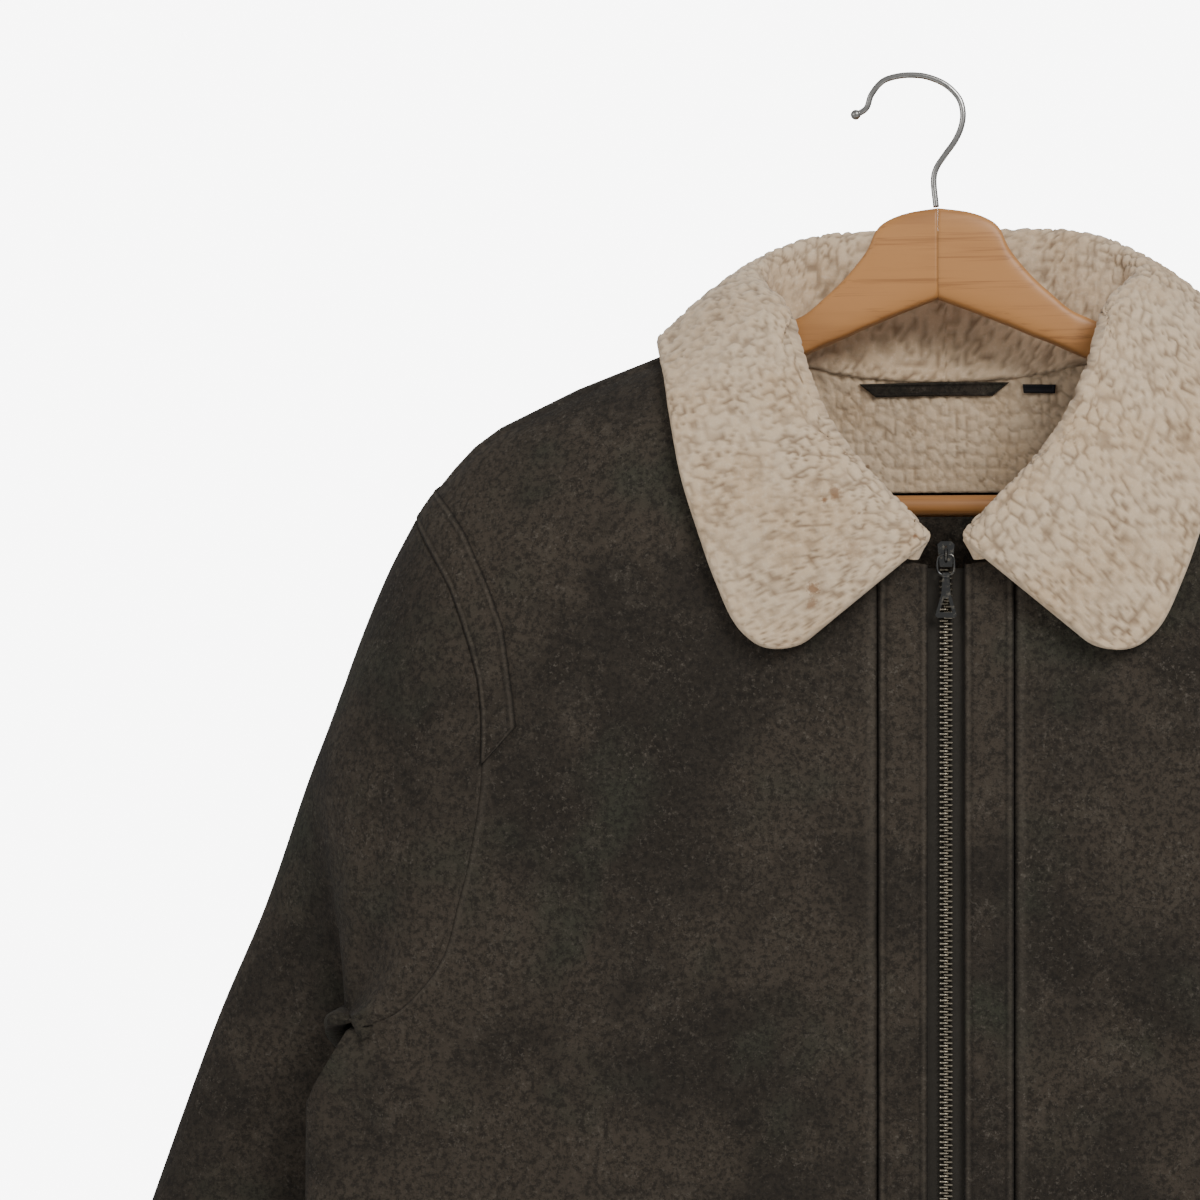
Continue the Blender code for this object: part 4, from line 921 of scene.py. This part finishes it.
class JACKET_OT_body(Operator):
    """Makes the two fronts and the back: shells with their soft folds, creases and sunken seams"""

    bl_idname = "jacket.body"
    bl_label = "Fronts and back"

    def execute(self, context):
        walls, dip = body_walls(), sizes().seam_dip
        leather = stored("napped leather", suede)
        for side, _ in SIDES:
            outer, inner = walls["front_" + side]
            pressed = creases(outer[..., 0], outer[..., 2], CREASES)
            pressed *= np.clip(from_edges(outer, ("top", "last", "first")) / 12, 0, 1)
            marks = seam_marks(outer, ("top", "last", "first"))
            outer = sunk(outer + pressed[..., None] * (0, 1, 0), -1, ("top", "last", "first"), dip)
            mesh = shell("front_cloth_" + side, outer, inner, **marks)
            made = piece("front_cloth_" + side, mesh, leather, ["front_" + side])
        outer, inner = walls["back"]
        marks = seam_marks(outer, ("top", "last"))
        outer = sunk(outer, 1, ("top", "last"), dip)
        whole = [np.hstack([mirror(half, -1)[:, ::-1], half[:, 1:]]) for half in (outer, inner)]
        marks = {name: np.hstack([half[:, ::-1], half[:, 1:]]) for name, half in marks.items()}
        made = piece("back_cloth", shell("back_cloth", *whole, **marks), leather, ["back"])
        return {"FINISHED"}


class JACKET_OT_sleeves(Operator):
    """Makes the two hanging sleeves: tubes from the armhole to the open cuff, creased down their fronts"""

    bl_idname = "jacket.sleeves"
    bl_label = "Sleeves"

    def execute(self, context):
        walls = body_walls()
        for side, sign in SIDES:
            outer, inner = walls["sleeve_" + side]
            normal = ring_normals(outer)
            pressed = creases(outer[..., 0] * -sign, outer[..., 2], SLEEVE_CREASES)
            calm = underarm_calm(outer)
            pressed *= np.clip(-normal[..., 1] * 2, 0, 1) * calm
            pressed *= np.clip(from_edges(outer, ("top",)) / 14, 0, 1)
            far = from_edges(outer, ("top", "foot"))
            outer = outer - normal * (pressed + calm * sizes().seam_dip * bell(far, 1.7))[..., None]
            outer += normal * (calm * 0.5 * bell(far, 1.6, 4.0))[..., None]
            marks = {"worn": bell(far, 2.0, 3.6), "seam": bell(far, 1.1)}
            name = "sleeve_cloth_" + side
            mesh = shell(name, outer, inner, closed=True, **marks)
            made = piece(name, mesh, stored("napped leather", suede), ["sleeve_" + side])
        return {"FINISHED"}


def front_line(x, z):
    """Rows of x, drop below the shoulder and face, for an upright line on the fronts."""
    x = np.full(len(z), x)
    return np.column_stack([x, shoulder_z(x) - z, np.full(len(z), -1.0)])


class JACKET_OT_trims(Operator):
    """Makes the armhole bands and the placket strips: cloth laid on the body with rounded, double edges"""

    bl_idname = "jacket.trims"
    bl_label = "Bands and plackets"

    def execute(self, context):
        leather = stored("napped leather", suede)
        inner_edge, outer_edge = band_edges(7)
        shares = edge_shares(22, 1.3)
        z = np.linspace(PLACKET_TOP, HEM_Z, 320)
        for side, sign in SIDES:
            top, low, normal = strip_walls(inner_edge, outer_edge, shares, BAND_OFF - 0.4,
                                           BAND_OFF + BAND_THICK * 0.45, sign)
            self.make("band", side, top, low, normal, "armhole_band_" + side, leather)
            edges = []
            for x, lean in ((PLACKET_EDGE, 0.0), (PLACKET_SEAM, (PLACKET_SEAM - PLACKET_EDGE) * 0.16)):
                edges.append(front_line(x, z + lean * np.exp(-(PLACKET_TOP - z) / 8)))
            top, low, normal = strip_walls(*edges, edge_shares(23, 1.4), -WALL, PLACKET_RISE, sign)
            ripple = 0.35 * np.sin(z / 31 + sign)[:, None] * np.sin(z / 12.7)[:, None] * np.ones(top.shape[1])
            top += normal * ripple[..., None]
            self.make("placket", side, top, low, normal, "placket_" + side, leather)
        return {"FINISHED"}

    def make(self, kind, side, top, low, normal, node, leather):
        """The edges drop by a bell of the distance from them, and a thin groove runs 3.4 mm inside them."""
        sides = ("first", "last") if kind == "placket" else ("first", "last", "top", "foot")
        far = from_edges(top, sides)
        top = top - normal * (bell(far, 0.9) + 0.45 * bell(far, 0.8, 3.4))[..., None]
        worn = bell(far, 1.0, 1.8)
        seam = np.maximum(bell(far, 0.7), 0.5 * bell(far, 0.6, 3.4))
        name = f"{kind}_cloth_{side}"
        mesh = shell(name, top, low, worn=worn, seam=seam)
        piece(name, mesh, leather, [node])


class JACKET_OT_collar(Operator):
    """Makes the pile collar: stand, roll and leaf, raised into curls on the side that shows"""

    bl_idname = "jacket.collar"
    bl_label = "Collar"

    def execute(self, context):
        middle = collar_grid()
        normal = normals(middle)
        outward = normal if normal[10, -20, 1] < 0 else -normal
        far = from_edges(middle, ("top", "foot", "last"))
        half = PILE / 2
        round_ = half * np.sqrt(np.clip(1 - (1 - np.clip(far / half, 0, 1)) ** 2, 0.001, 1))
        keep = np.clip(far / 2.0, 0.35, 1)
        off, curl = outward * round_[..., None], sizes().curl
        shown, crack = pile_over(middle + off, outward, curl, keep)
        under, _ = pile_over(middle - off, -outward, curl * 1.1, keep * 0.4)
        mesh = shell("collar_pile", shown, under, crack=crack)
        made = piece("collar_pile", mesh, stored("pile", pile), ["collar"])
        return {"FINISHED"}


def within(x, z, depth):
    drop = shoulder_z(x) - z
    return body_point(x, drop, 1) - body_normal(x, drop, 1) * depth


class JACKET_OT_neck(Operator):
    """Makes the pile yoke inside the neck, the hang loop with its corded edge, and the bare size tab"""

    bl_idname = "jacket.neck"
    bl_label = "Inside the neck"

    def execute(self, context):
        x = np.linspace(-YOKE_HALF, YOKE_HALF, 130)
        seam_x, seam_z = np.array(NECK_BACK[::-1], float).T
        v = np.linspace(0, 1, 52)[:, None]
        z = (np.interp(np.abs(x), seam_x, seam_z) - 1.5) * (1 - v) + YOKE_BOTTOM * v
        xx = np.repeat(x[None], len(v), axis=0)
        behind = WALL + SEAM_GAP + 0.4
        outer, inner = within(xx, z, behind), within(xx, z, behind + YOKE_PILE)
        inward = (inner - outer) / YOKE_PILE
        keep = np.clip(from_edges(inner, ("foot",)) / 2, 0.3, 0.8)
        raised, crack = pile_over(inner, inward, sizes().curl * 0.95, keep)
        mesh = shell("yoke_pile", raised, outer, crack=crack)
        made = piece("yoke_pile", mesh, stored("pile", pile), ["neck_yoke"])
        leather, dark = stored("napped leather", suede), stored("tab cloth", plain_cloth)
        self.tab("hang_loop", (-44, 32, -149.5, -156.5, 8.5), leather, "suede", behind)
        self.tab("size_tab", (38.5, 55, -150.5, -155, 0.5), dark, "label_cloth", behind)
        return {"FINISHED"}

    def tab(self, name, outline, look, slot, behind):
        """A flat strip that narrows to its foot, raised along its edges by a cord of 1 mm."""
        left, right, top_z, low_z, narrow = outline
        u, w = np.linspace(0, 1, 90)[None], np.linspace(0, 1, 16)[:, None]
        x = (left + narrow * w) * (1 - u) + (right - narrow * w) * u
        z = top_z + (low_z - top_z) * w + 0 * u
        start = behind + YOKE_PILE + SEAM_GAP + 0.1 + 0.75
        far, near = within(x, z, start), within(x, z, start + 1.0)
        edge = from_edges(near, ("first", "last", "top", "foot"))
        near = near + (near - far) * (0.4 * bell(edge, 0.5, 0.8) - 0.3 * bell(edge, 0.3))[..., None]
        mesh = shell(name + "_cloth", near, far, seam=bell(edge, 0.3, 1.5))
        piece(name + "_cloth", mesh, look, [name])


def plain_cloth(name):
    """Near-black woven cloth with a fine weave."""
    paint = Paint(name, Specular_IOR_Level=0.3)
    weave = paint.add("ShaderNodeTexWave", {"bands_direction": "DIAGONAL"}, {0: paint.place, 1: 900, 2: 0.5})
    colour = paint.mix(tuple(bpy.context.scene.jacket_colours.label), (0.03, 0.03, 0.035), weave * 0.5)
    return paint.finish(colour, 0.8, (weave, 0.4, 0.0002))


def tube(route, radius, sides, closed=False):
    """Rings round a path: at each point the radius turned through a circle square to the path."""
    if closed:
        along = np.roll(route, -1, axis=0) - np.roll(route, 1, axis=0)
    else:
        along = np.gradient(route, axis=0)
    along /= np.linalg.norm(along, axis=1, keepdims=True)
    side = np.cross(along, (0, 1, 0))
    side /= np.maximum(np.linalg.norm(side, axis=1, keepdims=True), 1e-9)
    up = np.cross(side, along)
    turn = np.linspace(0, 2 * math.pi, sides, endpoint=False)[None, :, None]
    spoke = side[:, None] * np.cos(turn) + up[:, None] * np.sin(turn)
    return route[:, None] + np.reshape(radius, (-1, 1, 1)) * spoke


def ring_faces(rows, columns, cyclic):
    """Quads between rings that are closed round, and closed on end where the path is."""
    at = np.arange(rows * columns).reshape(rows, columns)
    at = np.hstack([at, at[:, :1]])
    if cyclic:
        at = np.vstack([at, at[:1]])
    corners = (at[:-1, :-1], at[1:, :-1], at[1:, 1:], at[:-1, 1:])
    return np.stack([corner.ravel() for corner in corners], axis=1)


def rod_mesh(name, route, radius, sides):
    """A round bar along a path, drawn to a point over its last steps so that its ends are closed."""
    rings = tube(route, radius, sides)
    ends = np.concatenate([rings[:1] * 0 + route[0], rings, rings[-1:] * 0 + route[-1]])
    return mesh_of(name, ends, ring_faces(len(ends), sides, False))


class JACKET_OT_zip(Operator):
    """Makes the zip: two ribbed tapes and rows of interlocked teeth that follow the chest"""

    bl_idname = "jacket.zip"
    bl_label = "Zip"

    def execute(self, context):
        tape = stored("zip tape", woven)
        z = np.linspace(ZIP_TOP, HEM_Z + 4, 300)
        for side, sign in SIDES:
            edges = [front_line(x, z) for x in (SEAM_GAP / 2, PLACKET_EDGE + 5)]
            under = -WALL - SEAM_GAP
            top, low, _ = strip_walls(*edges, np.linspace(0, 1, 12), under - TAPE, under, sign)
            mesh = shell("tape_cloth_" + side, top, low)
            made = piece("tape_cloth_" + side, mesh, tape, ["zip_tape_" + side])
        piece("teeth", self.teeth(), stored("antique zip metal", antique), ["zip_chain"])
        return {"FINISHED"}

    def teeth(self):
        """Each tooth is a bar across the zip whose section is an arch, with a rounded head past the middle."""
        pitch = sizes().tooth_pitch
        first, last = SLIDER_Z - SLIDER_HIGH / 2 - SEAM_GAP - 1, HEM_Z + 11
        z = np.arange(first, last, -pitch / 2)
        sign = np.where(np.arange(len(z)) % 2 == 0, -1.0, 1.0)[:, None, None]
        reach_x = np.array([CHAIN_HALF, 2.4, 0.6, -0.7, -1.1])[None, :, None]
        high = np.array([1.0, 1.0, 0.9, 0.85, 0.35])[None, :, None]
        turn = np.linspace(0, 2 * math.pi, 8, endpoint=False)[None, None, :]
        middle_y = front_y(np.zeros(len(z)), z)[:, None, None] + WALL - CHAIN_DEEP / 2
        x = sign * reach_x + 0 * turn
        y = middle_y - np.sin(turn) * CHAIN_DEEP / 2 * high
        zz = z[:, None, None] + np.cos(turn) * pitch * 0.235 * high + 0 * y
        points = np.stack([x, y, zz], axis=3).reshape(len(z), -1, 3)
        one = ring_faces(5, 8, False)
        caps = [[0, 7, 6, 1], [1, 6, 5, 2], [2, 5, 4, 3],
                [32, 33, 38, 39], [33, 34, 37, 38], [34, 35, 36, 37]]
        one = np.concatenate([one, np.array(caps)])
        flipped = one[:, ::-1]
        every = [(one if sign[k, 0, 0] < 0 else flipped) + k * 40 for k in range(len(z))]
        return mesh_of("teeth", points, np.concatenate(every))


class JACKET_OT_slider(Operator):
    """Puts dark metal on the packed slider and flared tab, and makes the pull ring on a body of its own"""

    bl_idname = "jacket.slider"
    bl_label = "Slider and pull"

    def execute(self, context):
        metal = stored("dark zip metal", dark_metal)
        for node in ("zip_slider", "pull_tab"):
            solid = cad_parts[node]
            solid.data.materials.clear()
            solid.data.materials.append(metal)
        low, high = (np.array(corner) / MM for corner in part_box("pull_ring"))
        centre, half = (low + high) / 2 - (GARMENT_X, 0, 0), (high - low) / 2 - RING_WIRE
        turn = np.linspace(0, 2 * math.pi, 72, endpoint=False)
        x = np.sign(np.cos(turn)) * np.abs(np.cos(turn)) ** 0.62 * half[0]
        z = np.sign(np.sin(turn)) * np.abs(np.sin(turn)) ** 0.62 * half[2]
        route = np.column_stack([x, 0 * x, z]) + centre
        mesh = mesh_of("ring", tube(route, RING_WIRE, 12, True), ring_faces(72, 12, True))
        piece("ring", mesh, metal, ["pull_ring"], "ring")
        return {"FINISHED"}


class JACKET_OT_hanger(Operator):
    """Makes the hanger: two mitred wooden arms, the trouser bar and the wire hook with its ball"""

    bl_idname = "jacket.hanger"
    bl_label = "Hanger"

    def execute(self, context):
        for side, sign in SIDES:
            look = honey_wood("honey wood " + side, math.radians(GRAIN_SLOPE) * -sign)
            mesh = self.arm("arm_" + side, sign)
            piece("arm_" + side, mesh, look, ["hanger_arm_" + side])
        x = np.linspace(-BAR_HALF, BAR_HALF, 60) + HANGER_X
        bar = rod_mesh("bar", np.column_stack([x, 0 * x + BAR_Y, 0 * x + BAR_Z]), BAR_RADIUS, 32)
        piece("bar", bar, honey_wood("honey wood bar", 0.0), ["trouser_bar"])
        hook = np.array([(x - GARMENT_X, 0, z) for x, z in HOOK], float)
        shares = np.unique(np.concatenate([np.linspace(0, 1, 170), np.linspace(0, 0.045, 16)]))
        route = spline(hook, at=shares)
        far = np.concatenate([[0], np.cumsum(np.linalg.norm(np.diff(route, axis=0), axis=1))])
        ball = np.sqrt(np.clip(2.5**2 - (far - 2.4) ** 2, 0.01, None))
        radius = np.where(far < 4.6, np.maximum(ball, np.where(far > 2.4, HOOK_WIRE, 0)), HOOK_WIRE)
        mesh = rod_mesh("hook", route, radius, 20)
        piece("hook", mesh, stored("gunmetal", gunmetal), ["hanger_hook"])
        return {"FINISHED"}

    def arm(self, name, sign):
        """Sections along the arm: a flat face and back joined by rounded top and underside."""
        rows = [(0.03, *ARM[0][1:]), *ARM[1:]]
        for x, top, low in ARM_HIDDEN:
            rows.append((x, top or shoulder_z(sign * x + HANGER_X) - WALL - ARM_CLEAR, low))
        at = np.linspace(0, len(rows) - 1, (len(rows) - 1) * 6 + 1)
        fine = np.where(at[:, None] < len(ARM) - 1, through(rows, at), straight(rows, at))
        thick = np.interp(at, [len(ARM) - 1, len(ARM)], [WOOD_HALF, WOOD_HIDDEN_HALF])
        turn = np.linspace(0, 2 * math.pi, 48, endpoint=False) + math.pi / 48
        across = np.sign(np.cos(turn)) * np.abs(np.cos(turn)) ** 0.32
        up = np.sign(np.sin(turn)) * np.abs(np.sin(turn)) ** 0.5
        half = (fine[:, 1] - fine[:, 2])[:, None] / 2
        middle = (fine[:, 1] + fine[:, 2])[:, None] / 2
        x = np.repeat(fine[:, :1], len(turn), axis=1) * sign + HANGER_X
        rings = np.stack([x, across[None] * thick[:, None], middle + up * half], axis=2)
        ends = np.concatenate([rings[:1] * 0 + rings[:1].mean(axis=1, keepdims=True), rings,
                               rings[-1:] * 0 + rings[-1:].mean(axis=1, keepdims=True)])
        return mesh_of(name, ends, ring_faces(len(ends), len(turn), False))


class JACKET_OT_stage(Operator):
    """Makes the pale floor, the soft lights, the pale surroundings and the camera"""

    bl_idname = "jacket.stage"
    bl_label = "Stage"

    def execute(self, context):
        stage = context.scene.jacket_stage
        floor_mesh = bpy.data.meshes.new("floor")
        corners = [(x * 1.4, y * 1.4, -0.95) for x, y in ((-1, -1), (1, -1), (1, 1), (-1, 1))]
        floor_mesh.from_pydata(corners, [], [(0, 1, 2, 3)])
        floor = bpy.data.objects.new("floor", floor_mesh)
        context.collection.objects.link(floor)
        paint = Paint("floor", Roughness=0.9)
        paint.finish(paint.mix(tuple(stage.floor), (0.9, 0.9, 0.9), paint.noise(3)), 0.9)
        floor_mesh.materials.append(paint.material)
        self.light("key", stage.key, 1.1, (1.0, -1.7, 1.0), (0, 0, -0.3))
        self.light("fill", stage.fill, 1.6, (-1.7, -1.5, 0.3), (0, 0, -0.35))
        world = bpy.data.worlds.new("pale surroundings")
        world.use_nodes = True
        nodes, links = world.node_tree.nodes, world.node_tree.links
        nodes["Background"].inputs["Color"].default_value = (1, 1, 1, 1)
        seen, strength = nodes.new("ShaderNodeLightPath"), nodes.new("ShaderNodeMapRange")
        strength.inputs["To Min"].default_value = stage.sky
        strength.inputs["To Max"].default_value = stage.backdrop
        links.new(seen.outputs["Is Camera Ray"], strength.inputs["Value"])
        links.new(strength.outputs["Result"], nodes["Background"].inputs["Strength"])
        context.scene.world = world
        lens = bpy.data.cameras.new("camera")
        lens.sensor_width, lens.lens = 36, 36 * 2626 / 1200
        camera = bpy.data.objects.new("camera", lens)
        camera.location = (0.014, -1.30, -0.2595)
        camera.rotation_euler = (math.radians(90), 0, math.atan(346 / 2626))
        context.collection.objects.link(camera)
        context.scene.camera = camera
        return {"FINISHED"}

    def light(self, name, power, size, place, target):
        lamp = bpy.data.lights.new(name, "AREA")
        lamp.shape, lamp.size, lamp.energy = "DISK", size, power
        made = bpy.data.objects.new(name, lamp)
        toward = np.array(target) - np.array(place)
        flat = math.hypot(toward[0], toward[1])
        made.location = place
        made.rotation_euler = (math.atan2(flat, -toward[2]), 0, math.atan2(-toward[0], toward[1]))
        bpy.context.collection.objects.link(made)


class JACKET_PT_panel(Panel):
    """Lists the jacket's pieces and settings."""

    bl_label = "Jacket"
    bl_space_type = "VIEW_3D"
    bl_region_type = "UI"
    bl_category = "Jacket"

    def draw(self, context):
        for operator in OPERATORS:
            self.layout.operator(operator.bl_idname)
        for group in (context.scene.jacket_sizes, context.scene.jacket_colours, context.scene.jacket_stage):
            for name in group.__annotations__:
                self.layout.prop(group, name)


OPERATORS = (JACKET_OT_stage, JACKET_OT_hanger, JACKET_OT_body, JACKET_OT_sleeves, JACKET_OT_trims,
             JACKET_OT_neck, JACKET_OT_collar, JACKET_OT_zip, JACKET_OT_slider)
GROUPS = {"jacket_sizes": JacketSizes, "jacket_colours": JacketColours, "jacket_stage": JacketStage}


def register():
    for made in (*GROUPS.values(), *OPERATORS, JACKET_PT_panel):
        bpy.utils.register_class(made)
    for name, group in GROUPS.items():
        setattr(bpy.types.Scene, name, PointerProperty(type=group))


def unregister():
    for name in GROUPS:
        delattr(bpy.types.Scene, name)
    for made in (JACKET_PT_panel, *OPERATORS[::-1], *GROUPS.values()):
        bpy.utils.unregister_class(made)


def main():
    register()
    for operator in OPERATORS:
        group, name = operator.bl_idname.split(".")
        getattr(getattr(bpy.ops, group), name)()
    bpy.context.view_layer.update()


if __name__ == "__main__":
    main()
